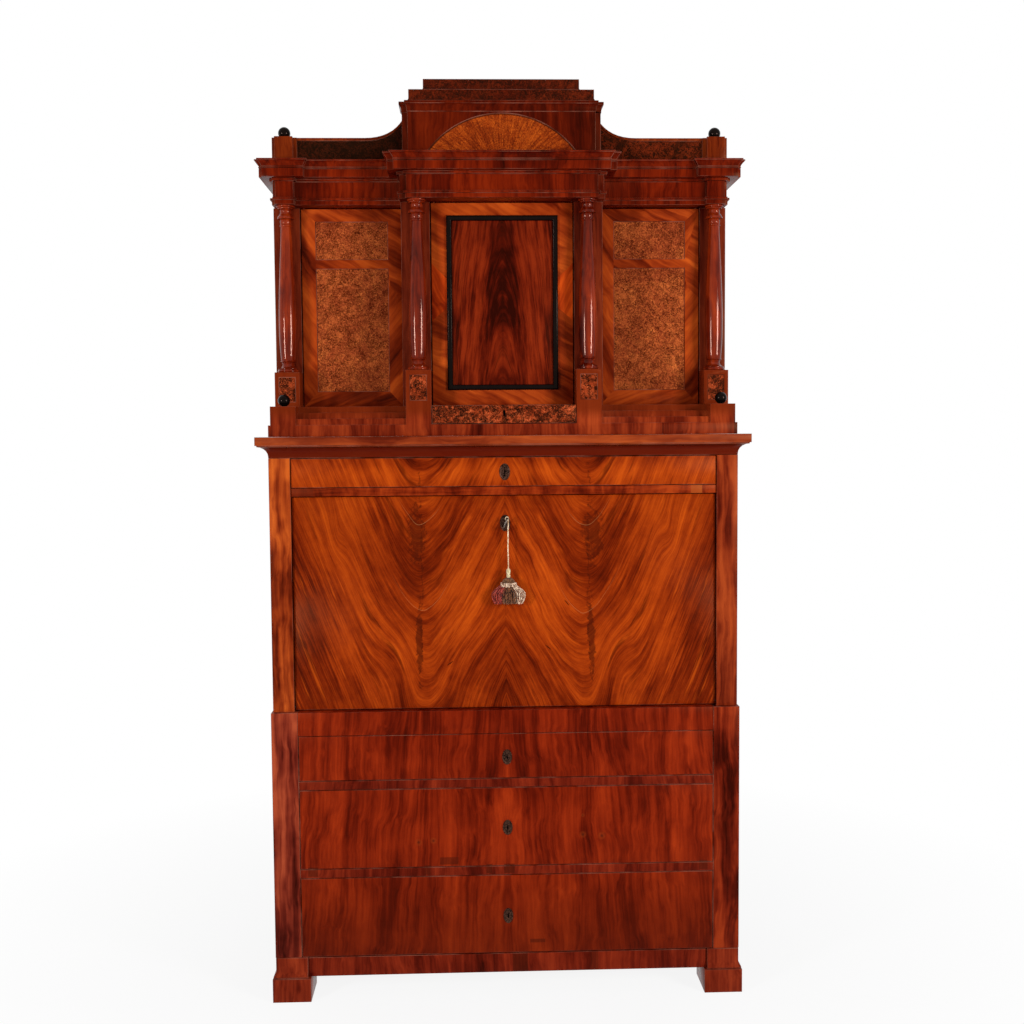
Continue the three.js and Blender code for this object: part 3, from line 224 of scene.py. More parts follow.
class Recipe(Graph):   # one finish, on the piece's own coordinates
    def __init__(self, name, specular=0.5, metal=0, sheen="sheen"):
        self.material = bpy.data.materials.new(name)
        self.material.use_nodes = True
        super().__init__(self.material.node_tree)
        self.shader = self.tree.nodes["Principled BSDF"].inputs
        self.feed(self.shader["Metallic"], metal)
        self.feed(self.shader["Specular IOR Level"], specular)
        if not metal:
            self.feed(self.shader["Specular Tint"], polish[sheen])
        self.spot = self.add("TexCoord", out=3)
        self.x, self.y, self.z = self.split(self.spot)

    def split(self, vector):
        node = self.tree.nodes.new("ShaderNodeSeparateXYZ")
        self.feed(node.inputs[0], vector)
        return node.outputs

    def vector(self, x, y, z):
        return self.add("CombineXYZ", x, y, z)

    def moved(self, vector, step):
        return self.add("VectorMath", vector, step, operation="ADD")

    def boardSpot(self):   # x and y change places on faces that look sideways, so that grain runs along a board
        sideways = self.math("GREATER_THAN", self.gap(self.split(self.add("TexCoord", out=1))[0]), 0.5)
        return self.mix(sideways, self.spot, self.vector(self.y, self.x, self.z), "VECTOR")

    def noise(self, vector, size=1, detail=3, rough=0.55, twist=0):
        return self.add("TexNoise", Vector=vector, Scale=size, Detail=detail, Roughness=rough, Distortion=twist)

    def grain(self, scale, detail=3, rough=0.55, twist=0, spot=None, turn=(0, 0, 0)):   # noise drawn out one way
        spot = self.spot if spot is None else spot
        turned = self.add("Mapping", spot, Rotation=turn, vector_type="TEXTURE")
        return self.noise(self.add("VectorMath", turned, scale, operation="MULTIPLY"), 1, detail, rough, twist)

    def fade(self, value, low, high, toLow=0, toHigh=1):
        return self.add("MapRange", value, low, high, toLow, toHigh, interpolation_type="SMOOTHSTEP")

    def blob(self, across, middleX, middleZ, halfX, halfZ):   # 1 at a place, falling away to nothing
        outX = self.over(self.less(across, middleX), halfX)
        outZ = self.over(self.less(self.z, middleZ), halfZ)
        return self.power(self.times(self.timesPlus(outX, outX, self.times(outZ, outZ)), -1))

    def mix(self, factor, first, second, kind="RGBA"):
        node = self.tree.nodes.new("ShaderNodeMix")
        node.data_type = kind
        start, out = {"VECTOR": (4, 1), "RGBA": (6, 2)}[kind]
        for number, value in ((0, factor), (start, first), (start + 1, second)):
            self.feed(node.inputs[number], value)
        return node.outputs[out]

    def touch(self, colour, value, low, high, share, paint):   # a share of paint where the value passes a limit
        paint = tint(paint) if isinstance(paint, str) else paint
        return self.mix(self.fade(value, low, high, 0, share), colour, paint)

    def ramp(self, value, stops):
        node = self.tree.nodes.new("ShaderNodeValToRGB")
        self.feed(node.inputs[0], value)
        elements = node.color_ramp.elements
        while len(elements) < len(stops):
            elements.new(0.5)
        for element, (position, colour) in zip(elements, stops):
            element.position = position
            element.color = tint(colour) if isinstance(colour, str) else colour
        return node.outputs[0]

    def blendOf(self, *weighted):   # sum of weight times (value - 0.5), plus 0.5
        total = 0.5 - sum(weight for _, weight in weighted) / 2
        for value, weight in weighted:
            total = self.timesPlus(value, weight, total)
        return total

    def finish(self, colour, height=None, rough=(0.2, 0.34), depth=0.15, size=7):
        self.feed(self.shader["Base Color"], colour)
        self.feed(self.shader["Roughness"], self.fade(self.noise(self.spot, size, 4, 0.6), 0.3, 0.7, *rough))
        if height is not None:
            self.feed(self.shader["Normal"], self.add("Bump", Strength=depth, Distance=0.4 * mm, Height=height))
        return self.material


# Crotch veneer, matched at the middle: bands hang in a U round a dark spine on each side
crotch = {
    "spine": 0.207, "inner": (2.3, 0.07), "outer": (2.6, 0.055), "peak": (0.2, 0.05, 0.98, 0.72),
    "eyes": [(0.275, 0.84, 0.05, 0.11, -0.085), (0.412, 1.16, 0.022, 0.06, 0.045)],
    "bands": (34, 7), "fine": (115, 13), "hair": (430, 26), "tone": (9, 3),
    "tones": [   # middle across and up, half sizes, how much lighter
        (0.10, 1.0, 0.06, 0.13, 0.14), (0.36, 1.24, 0.06, 0.07, 0.12), (0.26, 0.85, 0.05, 0.07, 0.12),
        (0.43, 1.12, 0.06, 0.09, 0.07), (0.48, 0.95, 0.05, 0.17, -0.14), (0.37, 0.78, 0.12, 0.06, -0.1),
        (0.02, 0.8, 0.07, 0.09, -0.15), (0.22, 1.17, 0.06, 0.1, -0.1), (0.2, 1.35, 0.11, 0.04, -0.1),
        (0.1, 1.315, 0.5, 0.026, 0.15),
    ],
    "combs": [(0.218, 1.16, 0.04, 0.12, 0.62, 0.78, 0.6), (0.213, 0.9, 0.012, 0.13, 0.5, 0.72, 0.7)],
    "cracks": [(0.972, 0.09), (1.19, 0.06)],
    "slits": [(-0.139, 0.842, 35), (0.105, 0.879, -38), (0.152, 0.99, -50)],
}
arches = {   # the centre door's panel: bands stand in arches over one spine
    "spine": 0.0, "inner": (11, 0.05), "outer": (11, 0.05), "sign": -1, "bands": (8, 14), "fine": (34, 18),
    "hair": (120, 36), "tone": (3, 9), "tones": [(0.0, 1.73, 0.036, 0.22, -0.22), (0.08, 1.7, 0.035, 0.3, 0.14)],
    "contrast": 1.8,
}


def hanging(r, facts, across, drift):   # the height at which a band through this place meets its spine
    off = r.less(across, facts["spine"])
    slope, soft = (r.fade(off, -12 * mm, 12 * mm, facts["inner"][i], facts["outer"][i]) for i in (0, 1))
    rise = r.times(r.less(r.reach(off, soft), soft), slope)
    level = r.timesPlus(rise, -facts.get("sign", 1), r.plus(r.z, drift))
    if "peak" in facts:
        height, reach, start, full = facts["peak"]
        peak = r.power(r.over(across, -reach))
        level = r.timesPlus(r.times(peak, r.fade(r.z, start, full)), -height, level)
    return off, level


def crotchLook(name, colours, facts=crotch):
    r = Recipe(name, polish["specular"])
    drift = r.timesPlus(r.grain((5.5, 5.5, 3.5), 3, 0.5), 0.08, -0.04)
    across = r.plus(r.gap(r.x), r.times(drift, 0.3))
    off, level = hanging(r, facts, across, drift)
    for *place, lift in facts.get("eyes", ()):
        level = r.timesPlus(r.blob(across, *place), lift, level)
    layers = {}
    for key in ("bands", "fine", "hair", "tone"):
        often, along = facts[key]
        flow = r.vector(r.times(level, often), r.times(across, along), r.times(r.z, along * 0.6))
        layers[key] = r.noise(flow, 1, 3, 0.6, 0.15 if key == "bands" else 0)
    strong = r.fade(r.grain((9, 9, 6), 2), 0.38, 0.62, 0.45, 1.25)
    layers["bands"] = r.timesPlus(r.less(layers["bands"], 0.5), strong, 0.5)
    contrast = facts.get("contrast", 1)
    figure = r.blendOf(*((layers[key], weight * contrast) for key, weight in
                         (("bands", 0.62), ("tone", 0.75), ("fine", 0.42))),
                       (layers["hair"], 0.42), (r.noise(r.spot, 30, 4, 0.65), 0.25))
    for *place, lift in facts["tones"]:
        figure = r.timesPlus(r.blob(across, *place), lift, figure)
    colour = r.ramp(figure, colours)
    flow = r.vector(r.times(level, 21), r.times(across, 5), r.times(r.z, 4))
    streaks = r.noise(flow, 1, 4, 0.62, 0.2)
    colour = r.touch(colour, streaks, 0.42, 0.3, 0.6, colours[0][1])
    colour = r.touch(colour, streaks, 0.6, 0.72, 0.6, colours[-1][1])
    if "combs" in facts:
        colour = spineMarks(r, facts, colour, across, off, level)
    return r.finish(r.touch(colour, r.gap(r.x), 0.9 * mm, 0.1 * mm, 0.3, "2c0b04"), layers["fine"])


def spineMarks(r, facts, colour, across, off, level):   # dark combs at the spines, hair cracks, small slits
    barb = r.timesPlus(off, 0.9, r.z)
    tufts = r.noise(r.vector(r.times(barb, 75), r.times(off, 22), 0), 1, 4, 0.7, 0.6)
    broken = r.grain((60, 60, 34), 4, 0.7, 0.8)
    for *place, least, full, share in facts["combs"]:
        patch = r.blendOf((tufts, 0.7), (broken, 0.9), (r.blob(across, *place), 0.75))
        colour = r.touch(colour, patch, least, full, share, "3c0c03")
    line = r.fade(r.gap(r.timesPlus(r.less(broken, 0.5), 0.022, off)), 3 * mm, 1 * mm, 0, 0.5)
    line = r.times(line, r.times(r.fade(r.z, 0.8, 0.84), r.fade(tufts, 0.42, 0.55)))
    colour = r.mix(line, colour, tint("340a03"))
    for height, half in facts["cracks"]:
        line = r.fade(r.gap(level, height), 0.9 * mm, 0.2 * mm, 0, 0.4)
        colour = r.mix(r.times(line, r.fade(r.gap(off), half, half * 0.5)), colour, tint("b87848"))
    for slitX, slitZ, lean in facts["slits"]:
        c, s = math.cos(math.radians(lean)), math.sin(math.radians(lean))
        outX, outZ = r.less(r.x, slitX), r.less(r.z, slitZ)
        along = r.timesPlus(outX, c, r.times(outZ, s))
        beside = r.timesPlus(outX, -s, r.times(outZ, c))
        colour = r.touch(colour, r.reach(along, r.times(beside, 6)), 11 * mm, 7 * mm, 0.8, "2a0802")
    return colour


# Straight grain: the shade, then what differs from plain upright grain; a shadow is painted shade, a darker colour past
# a height
boards = {
    # drawers: painted shade, darker towards the bottom of the base
    "drawer": ("drawer", {"grain": 60, "broad": 12, "matched": True, "marks": True,
                          "shadow": (0.42, 0.12, 0.42, "2c0803")}),
    "apron": ("apron", {"grain": 60, "broad": 10, "marks": True}),
    "upright": ("pier", {}),
    "deskPost": ("post", {"grain": 46, "broad": 16, "contrast": 1.7}),
    # right desk post: the same grain in the darker, painted-shade colour
    "deskPostRight": ("postShaded", {"grain": 46, "broad": 16, "contrast": 1.5}),
    "basePost": ("stile", {"grain": 46, "broad": 16, "contrast": 1.8}),
    "basePostRight": ("stileRight", {"grain": 46, "broad": 16, "contrast": 1.8}),
    "foot": ("foot", {"grain": 60, "broad": 12}),
    # slab: painted shade on the cove under it
    "slab": ("slab", {"lean": 90, "grain": 40, "broad": 7, "shadow": (1.388, 1.376, 0.92, "4b0a02")}),
    # plinth: painted shade over its upper part
    "plinth": ("band", {"grain": 70, "broad": 14, "leaf": 0.16, "shadow": (1.44, 1.475, 0.8, woods["pier"])}),
    "temple": ("temple", {"grain": 80, "broad": 14, "leaf": 0.12, "contrast": 1.2}),
    "pediment": ("pediment", {"grain": 70, "broad": 12}),
    "carcass": ("carcass", {"grain": 80, "broad": 14}),
    "column": ("column", {"grain": 70, "broad": 16, "rough": (0.07, 0.1), "contrast": 1.3, "glossy": True}),
    "inner": ("inner", {"lean": 90, "grain": 50, "broad": 8}),
}
frames = {"frameStile": 38, "frameStileLeft": -30, "frameTop": -62, "frameFoot": 70,   # how far each grain leans
          "centreStile": 24, "centreStileLeft": -24, "centreTop": -50, "centreFoot": 60}
# the centre door's frames take the lighter, painted-light colour
for key, lean in frames.items():
    boards[key] = ("door" if key.startswith("frame") else "doorCentreLit",
                   {"lean": lean, "grain": 42, "broad": 14, "contrast": 1.25})
# Repairs and knots in the base: middle across and up, half sizes, share of the shade
patches = [
    (-0.1465, 0.3485, 0.0235, 0.0095, 0.6), (0.0735, 0.14, 0.0195, 0.005, 0.6), (-0.4845, 0.3265, 0.0125, 0.012, 0.6),
    (-0.2005, 0.3265, 0.0075, 0.012, 0.55), (-0.0465, 0.3265, 0.0075, 0.012, 0.7), (0.0035, 0.3265, 0.0135, 0.012, 0.7),
    (0.491, 0.3265, 0.011, 0.012, 0.6), (0.0295, 0.08, 0.0195, 0.03, 0.6), (0.216, 0.08, 0.01, 0.03, 0.5),
]
knots = [(-0.222, 0.397, 0.006), (-0.185, 0.4, 0.0055), (0.188, 0.409, 0.0055), (0.235, 0.405, 0.0065),
         (0.188, 0.458, 0.003)]


def uprightLook(name, colours, lean=0, grain=75, broad=11, leaf=None, contrast=1.0, rough=(0.22, 0.34),
                glossy=False, matched=False, marks=False, shadow=None):
    r = Recipe(name, polish["gloss" if glossy else "specular"], sheen="glossSheen" if glossy else "sheen")
    turn = (0, math.radians(lean), 0)
    spot = r.boardSpot() if lean == 90 else r.spot
    wander = r.noise(spot, 5, 3)
    if matched:
        off = r.less(r.gap(r.x), crotch["spine"])
        near = r.power(r.times(r.times(off, off), -260))
        sway = r.times(r.times(near, off), r.timesPlus(r.z, 1.6, -0.3))
        spot = r.vector(r.plus(r.timesPlus(r.z, 0.06, r.gap(r.x)), sway), r.y, r.z)
    bend = r.moved(spot, r.times(wander, 0.05))
    fine = r.grain((grain * 3, grain * 3, grain / 12), spot=bend, turn=turn)
    stripes = r.grain((grain, grain, grain / 22), 3, 0.6, 0.3, bend, turn)
    wide = r.grain((broad, broad, broad / 7), 3, 0.6, 0.4, bend, turn)
    parts = [(fine, 0.4), (stripes, 0.7 * contrast), (wide, 0.95 * contrast),
             (r.noise(r.spot, 9, 3, 0.6), 0.4 * contrast)]
    if leaf:
        edge = r.plus(r.plus(r.x, r.y), r.times(wander, 0.1 * leaf))
        number = r.math("FLOOR", r.over(edge, leaf))
        parts.append((r.add("TexWhiteNoise", number, noise_dimensions="1D"), 0.3))
    colour = r.ramp(r.blendOf(*parts), colours)
    # painted shade past a height
    if shadow:
        colour = r.touch(colour, r.z, *shadow)
    if marks:
        colour = baseMarks(r, colour)
    return r.finish(colour, fine, rough)


def baseMarks(r, colour):   # let-in patches and small knots
    tone = r.noise(r.spot, 60, 3)
    dark = r.mix(tone, tint("2c0803"), tint("4a1408"))
    soft = 0.6 * mm
    for midX, midZ, halfX, halfZ, share in patches:
        inX, inZ = r.fade(r.gap(r.x, midX), halfX, halfX - soft), r.fade(r.gap(r.z, midZ), halfZ, halfZ - soft)
        colour = r.mix(r.times(r.times(inX, inZ), share), colour, dark)
    for midX, midZ, radius in knots:
        away = r.timesPlus(tone, 0.5 * radius, r.reach(r.less(r.x, midX), r.less(r.z, midZ)))
        colour = r.touch(colour, away, radius * 2.1, radius * 1.3, 0.2, "8a3a14")
        colour = r.touch(colour, away, radius * 1.1, radius * 0.5, 0.6, "34100a")
    return colour


# The rail over the flap: the flap's veneer, with two let-in pieces and a rubbed top edge that also carries a painted
# highlight
railFacts = {"let": [(-0.5, 0.031, "3a1008", 0.75), (0.475, 0.0145, "b45a22", 0.7)], "top": 1.284,
             "rubbedHighlight": 1.2 * mm, "rubbedHighlightTone": "a86848"}


def railLook(name, colours):
    r = Recipe(name, polish["specular"])
    bend = r.moved(r.spot, r.times(r.noise(r.spot, 7, 3), 0.03))
    stripes = r.grain((40, 40, 12), 4, 0.65, 0.4, bend)
    along = r.grain((7, 60, 160), 3, 0.6, 0, bend)
    wide = r.grain((9, 9, 4), 3, 0.6, 0, bend)
    colour = r.ramp(r.blendOf((stripes, 1.0), (along, 0.6), (wide, 1.1)), colours)
    for middle, half, code, share in railFacts["let"]:
        piece = r.mix(stripes, tint(code), colours[2][1])
        colour = r.touch(colour, r.gap(r.x, middle), half, half - 1 * mm, share, piece)
    # pale band along the top edge: rubbed wear and a painted highlight
    top = railFacts["top"]
    wornHighlight = r.times(r.fade(r.z, top - railFacts["rubbedHighlight"], top), r.fade(along, 0.4, 0.6))
    return r.finish(r.mix(r.times(wornHighlight, 0.4), colour, tint(railFacts["rubbedHighlightTone"])), stripes)


# Burr veneer: broken curls in a mottled ground
def burrLook(name, ground, vein, size=70, width=0.05, share=0.85, rays=None, border=None):
    r = Recipe(name, polish["specular"])
    parts = [(r.noise(r.spot, 12, 4, 0.6, 1.2), 0.5), (r.noise(r.spot, 320, 3, 0.65, 0.8), 1.0)]
    if rays:
        outX, outZ = r.less(r.x, rays[0]), r.less(r.z, rays[1])
        flow = r.vector(r.times(r.math("ARCTAN2", outZ, outX), 26), r.times(r.reach(outX, outZ), 14), 0)
        parts.append((r.noise(flow, 1, 4, 0.65), 1.0))
    colour = r.ramp(r.blendOf(*parts), ground)
    lines = []
    for often, offset, broad in ((size, 3, width), (size * 1.9, 7, width * 1.25)):
        moved = r.moved(r.spot, (offset, offset, offset))
        line = r.fade(r.gap(r.noise(moved, often, 3, 0.6, 1.8), 0.5), broad, broad * 0.25)
        lines.append(r.times(line, r.fade(r.noise(moved, often * 0.45, 3, 0.6), 0.4, 0.56, 0.15, 1)))
        colour = r.mix(r.times(lines[-1], share), colour, tint(vein))
    if border:
        centreZ, radius, edge = border
        away = r.reach(r.x, r.less(r.z, centreZ))
        colour = r.touch(colour, away, radius - edge, radius - edge * 0.6, 0.8, "2c0c04")
    return r.finish(colour, r.math("MAXIMUM", *lines), (0.22, 0.36))


# Metals: ground, then wear as noise size, detail, roughness, limits and colour, then finish, then a cloud like the wear
metals = {
    "brass": ("6b4524", (300, 4, 0.6, 0.5, 0.7, "3c2414"), ((0.25, 0.45), 0.2, 120),
              (60, 3, 0.55, 0.35, 0.65, "b08042")),
    "darkBrass": ("130c0a", (500, 4, 0.6, 0.4, 0.62, "54382c"), ((0.25, 0.5), 0.2, 150)),
    "iron": ("4a4642", (700, 5, 0.65, 0.5, 0.8, "1c1a18"), ((0.35, 0.6), 0.3, 150),
             (90, 4, 0.7, 0.5, 0.75, "3a2014")),
    "keyIron": ("6e655c", (900, 5, 0.65, 0.45, 0.7, "2a201a"), ((0.22, 0.45), 0.25, 300)),
    "gilt": ("b98a3c", (240, 4, 0.7, 0.45, 0.62, "4d3a1a"), ((0.3, 0.5), 0.2)),
}
yarns = {   # light and dark
    "cordYarn": ("f0d8b8", "b48c64"), "beadYarn": ("d8c8a0", "8b764a"), "netYarn": ("845a3c", "2c160c"),
    "brownYarn": ("7c4c30", "24100a"), "redYarn": ("b8483a", "541010"), "creamYarn": ("f0d4b8", "7c4c34"),
}
oak = {"front": ("6d4422", "94663a", "b48a58"), "back": ("5c3a1e", "805531", "a07a4c"), "gap": "1e1209",
       "board": 0.095}


def metalLook(name, ground, wear, finish, cloud=None):
    r = Recipe(name, metal=1)
    colour = tint(ground)
    if cloud:
        colour = r.touch(colour, r.noise(r.spot, *cloud[:3]), *cloud[3:5], 1, cloud[5])
    pits = r.noise(r.spot, *wear[:3])
    return r.finish(r.touch(colour, pits, *wear[3:5], 1, wear[5]), pits, *finish)


def yarnLook(name, light, dark, strands=1400):
    r = Recipe(name, 0.1)
    twist = r.grain((strands, strands, strands / 7), 2)
    strand = r.grain((420, 420, 60), 2)
    figure = r.blendOf((twist, 1), (r.noise(r.spot, 160, 3, 0.6), 1), (strand, 1.6))
    r.feed(r.shader["Sheen Weight"], 0.3)
    return r.finish(r.touch(tint(dark), figure, 0.3, 0.66, 1, light), twist, (0.6, 0.8), 0.3, 200)


def plainLooks():
    looks = {name: metalLook(name, *facts) for name, facts in metals.items()}
    looks.update({name: yarnLook(name, *facts) for name, facts in yarns.items()})

    r = Recipe("ebonised", 0.08, sheen="glossSheen")
    scuff = r.grain((90, 90, 20), 4)
    looks["ebonised"] = r.finish(r.ramp(scuff, [(0.3, "040303"), (0.7, "0b0706")]), scuff, (0.12, 0.2), 0.05)

    # The inside of the keyholes: near-black, painted shade
    r = Recipe("keyholeShade", 0)
    looks["hole"] = r.finish(r.mix(r.noise(r.spot, 400, 3), tint("020101"), tint("080504")), None, (0.8, 0.95))

    # Edge colour for eased arrises and the pale rims round veneers: wear, with a painted highlight in its lighter
    # patches
    r = Recipe("edgeWearAndHighlight", 0.1)
    wear = r.noise(r.spot, 14, 3, 0.6)
    looks["edge"] = r.finish(r.touch(tint("3c1108"), wear, 0.35, 0.68, 1, "865040"), None, (0.3, 0.5))

    r = Recipe("secondaryWood", 0.15)
    grain = r.grain((3, 60, 60), 4, 0.6, 0.4, r.boardSpot())
    pores = r.grain((14, 320, 320), spot=r.boardSpot())
    colour = r.ramp(r.blendOf((grain, 1.1), (pores, 0.5)), list(zip((0.25, 0.5, 0.75), oak["front"])))
    looks["secondary"] = r.finish(colour, pores, (0.6, 0.85), 0.35)

    r = Recipe("backBoards", 0.15)
    grain = r.grain((60, 60, 3), 4, 0.6, 0.4)
    pores = r.grain((320, 320, 14))
    joint = r.fade(r.math("PINGPONG", r.x, oak["board"]), 0.0, 1.2 * mm)
    tone = r.add("TexWhiteNoise", r.math("FLOOR", r.over(r.x, 2 * oak["board"])), noise_dimensions="1D")
    figure = r.blendOf((grain, 1.1), (pores, 0.5), (tone, 0.25))
    colour = r.ramp(figure, list(zip((0.25, 0.5, 0.75), oak["back"])))
    looks["backBoards"] = r.finish(r.mix(joint, tint(oak["gap"]), colour), r.times(joint, pores), (0.65, 0.9), 0.5)

    r = Recipe("deskLeather", 0.3)
    cells = r.add("TexVoronoi", Vector=r.spot, Scale=620)
    colour = r.ramp(r.noise(r.spot, 7, 5, 0.65), [(0.3, "1f2a14"), (0.5, "2e3a1c"), (0.7, "45492a")])
    looks["leather"] = r.finish(r.mix(r.fade(cells, 0.0, 0.6), tint("171d0f"), colour), cells, (0.4, 0.62), 0.35)
    return looks


lunetteFacts = {"half": 0.1867, "rise": 0.0985, "rays": 0.06, "border": 4.5 * mm}
burrs = {   # ground, vein, size and width of the curls, share
    "burr": (shades("9b4621", polish["burrSpread"]), "3c0e03", 84, 0.055, 0.9),
    "darkBurr": ([(0.2, "4a1206"), (0.5, "983818"), (0.74, "d8683a")], "0c0302", 120, 0.1, 0.96),
    "crest": (shades(woods["crest"], polish["spread"]), "180603", 80, 0.08, 0.85),
    "blackBurr": (shades("180703"), "74260e", 58, 0.05, 0.8),
    # the left gallery's burr is the same burr made darker: painted shade
    "blackBurrLeft": (shades("0d0402"), "3c1408", 58, 0.05, 0.75),
}


def makeLooks():
    looks = plainLooks()
    wood = {key: shades(code, polish["spread"]) for key, code in woods.items()}
    looks["flame"] = crotchLook("crotchMahogany", wood["flap"])
    looks["flamePanel"] = crotchLook("flamePanel", wood["panel"], arches)
    looks["rail"] = railLook("railMahogany", wood["rail"])
    for key, (shade, facts) in boards.items():
        looks[key] = uprightLook(key + "Mahogany", wood[shade], **facts)
    for key, facts in burrs.items():
        looks[key] = burrLook(key + "Veneer", *facts)
    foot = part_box("pediment")[0][2]
    half, rise = lunetteFacts["half"], lunetteFacts["rise"]
    bow = (half ** 2 + rise ** 2) / (2 * rise)
    looks["lunette"] = burrLook("lunetteBurr", wood["lunette"], "4e1606", 80, 0.04, 0.7,
                                (0, foot - lunetteFacts["rays"]), (foot + rise - bow, bow, lunetteFacts["border"]))
    print("finishes ready:", len(looks))
    return looks


# Ways of working
def clearAll():
    if bpy.context.object and bpy.context.object.mode != "OBJECT":
        bpy.ops.object.mode_set(mode="OBJECT")
    bpy.ops.object.select_all(action="DESELECT")


def choose(piece):   # this piece alone
    clearAll()
    bpy.context.view_layer.objects.active = piece
    piece.select_set(True)


def work(piece):   # into edit mode on one piece
    piece.hide_viewport = False
    choose(piece)
    bpy.ops.object.mode_set(mode="EDIT")


def selectAll():
    bpy.ops.mesh.select_all(action="SELECT")


def pick(piece, test, kind="FACE"):   # select what passes a test
    bpy.ops.mesh.select_mode(type=kind)
    bpy.ops.mesh.select_all(action="DESELECT")
    shape = bmesh.from_edit_mesh(piece.data)
    for item in {"FACE": shape.faces, "EDGE": shape.edges, "VERT": shape.verts}[kind]:
        if test(item):
            item.select_set(True)
    bmesh.update_edit_mesh(piece.data)


def pull(x, y, z):   # extrude what is selected
    bpy.ops.mesh.extrude_region_move(TRANSFORM_OT_translate={"value": (x, y, z)})


def inset(width, sink=0):   # a smaller face inside the selected one, moved along y
    bpy.ops.mesh.inset(thickness=width)
    if sink:
        bpy.ops.transform.translate(value=(0, sink, 0))


def turnOut():   # all faces turned outwards
    selectAll()
    bpy.ops.mesh.normals_make_consistent(inside=False)


def closeUp():   # the same, and back to object mode
    turnOut()
    bpy.ops.object.mode_set(mode="OBJECT")


def fixPlace(piece):
    choose(piece)
    bpy.ops.object.transform_apply()


def settle(piece, name, body, look, replaced=(), smooth=35):
    fixPlace(piece)
    piece.name = piece.data.name = name
    if look is not None:
        piece.data.materials.clear()
        piece.data.materials.append(look)
    bpy.ops.object.shade_smooth_by_angle(angle=math.radians(smooth))
    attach(piece, body)
    if replaced:
        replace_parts(piece, *replaced)
    return piece


def copyPiece(piece):
    choose(piece)
    bpy.ops.object.duplicate(linked=False)
    twin = bpy.context.object
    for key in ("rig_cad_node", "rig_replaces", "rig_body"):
        if key in twin:
            del twin[key]
    twin.parent = None
    twin.matrix_world = Matrix()
    return twin


def joinPieces(*pieces):
    clearAll()
    for piece in pieces:
        piece.select_set(True)
    bpy.context.view_layer.objects.active = pieces[0]
    bpy.ops.object.join()
    return bpy.context.object


def swell(radius, bulge, low, high, count=6):   # a round stretch of an outline, bowed outwards by bulge
    steps = [i / count for i in range(count + 1)]
    return [(radius + bulge * math.sin(math.pi * t), low + (high - low) * t) for t in steps]


def turnPiece(outline, steps=48, scale=1.0):   # outline of radius and height, foot first, both ends on the axis
    outline = [(radius * scale, height * scale) for radius, height in outline]
    clearAll()
    bpy.ops.mesh.primitive_plane_add(size=1 * mm)
    piece = bpy.context.object
    work(piece)
    pick(piece, lambda v: v.index > 0, "VERT")
    bpy.ops.mesh.delete(type="VERT")
    shape = bmesh.from_edit_mesh(piece.data)
    shape.verts.ensure_lookup_table()
    shape.verts[0].co = (outline[0][0], 0, outline[0][1])
    selectAll()
    for before, after in zip(outline, outline[1:]):
        pull(after[0] - before[0], 0, after[1] - before[1])
    selectAll()
    bpy.ops.mesh.spin(steps=steps, angle=2 * math.pi, center=(0, 0, 0), axis=(0, 0, 1))
    selectAll()
    bpy.ops.mesh.remove_doubles(threshold=0.004 * mm)
    closeUp()
    return piece


def slab(low, high, ease):   # a board with softened edges
    clearAll()
    low, high = Vector(low), Vector(high)
    bpy.ops.mesh.primitive_cube_add(size=1, location=(low + high) / 2)
    piece = bpy.context.object
    piece.scale = high - low
    bpy.ops.object.transform_apply()
    work(piece)
    selectAll()
    bpy.ops.mesh.bevel(offset=ease, segments=2, affect="EDGES")
    bpy.ops.object.mode_set(mode="OBJECT")
    return piece


def flatFace(x, z, y, vertices=None, way=1):   # a flat board or oval that faces the room, or away from it
    clearAll()
    place = {"location": ((x[0] + x[1]) / 2, y, (z[0] + z[1]) / 2), "rotation": (way * math.pi / 2, 0, 0)}
    if vertices:
        bpy.ops.mesh.primitive_circle_add(vertices=vertices, radius=0.5, fill_type="NGON", **place)
    else:
        bpy.ops.mesh.primitive_plane_add(size=1, **place)
    made = bpy.context.object
    made.scale = (x[1] - x[0], z[1] - z[0], 1)
    bpy.ops.object.transform_apply()
    work(made)
    bpy.ops.mesh.select_mode(type="FACE")
    selectAll()
    return made


# Cord, hitch and tassel: the cord's points are those of the model, in mm from the keyhole
keyhole = Vector((0, -0.226, 1.19))
cordFacts = {
    "diameter": 3.2 * mm, "plies": 3, "lay": 9 * mm, "perLay": 10,
    "points": [
        (7.1, -11, 5.5), (7, -11, -3), (6.9, -11.1, -11.5), (6.8, -11.1, -20), (6.6, -11.2, -28.5),
        (6.5, -11.2, -37), (6.4, -11.3, -45.5), (6.3, -11.3, -54), (6.3, -11.4, -62.5), (6.4, -11.4, -71),
        (6.5, -11.5, -79.5), (6.6, -11.5, -88), (6.7, -11.5, -96.5), (6.8, -11.5, -104.5), (6.8, -11.5, -112),
    ],
    "through": [(6.8, -11.5, -124), (6.8, -11.5, -136), (6.8, -11.5, -148), (6.8, -11.5, -160)],
}


def smoothRoute(points, step):   # evenly spaced places on a smooth curve through points
    dense = []
    padded = [points[0] * 2 - points[1], *points, points[-1] * 2 - points[-2]]
    for a, b, c, d in zip(padded, padded[1:], padded[2:], padded[3:]):
        for i in range(12):
            t = i / 12
            dense.append(0.5 * (2 * b + (c - a) * t + (2 * a - 5 * b + 4 * c - d) * t * t
                                + (3 * b - a - 3 * c + d) * t ** 3))
    dense.append(points[-1])
    lengths = [0]
    for before, after in zip(dense, dense[1:]):
        lengths.append(lengths[-1] + (after - before).length)
    count = max(2, round(lengths[-1] / step))
    route, k = [], 0
    for i in range(count + 1):
        want = lengths[-1] * i / count
        while k < len(lengths) - 2 and lengths[k + 1] < want:
            k += 1
        share = (want - lengths[k]) / max(lengths[k + 1] - lengths[k], 1e-9)
        route.append(dense[k].lerp(dense[k + 1], min(share, 1)))
    return route, lengths[-1]


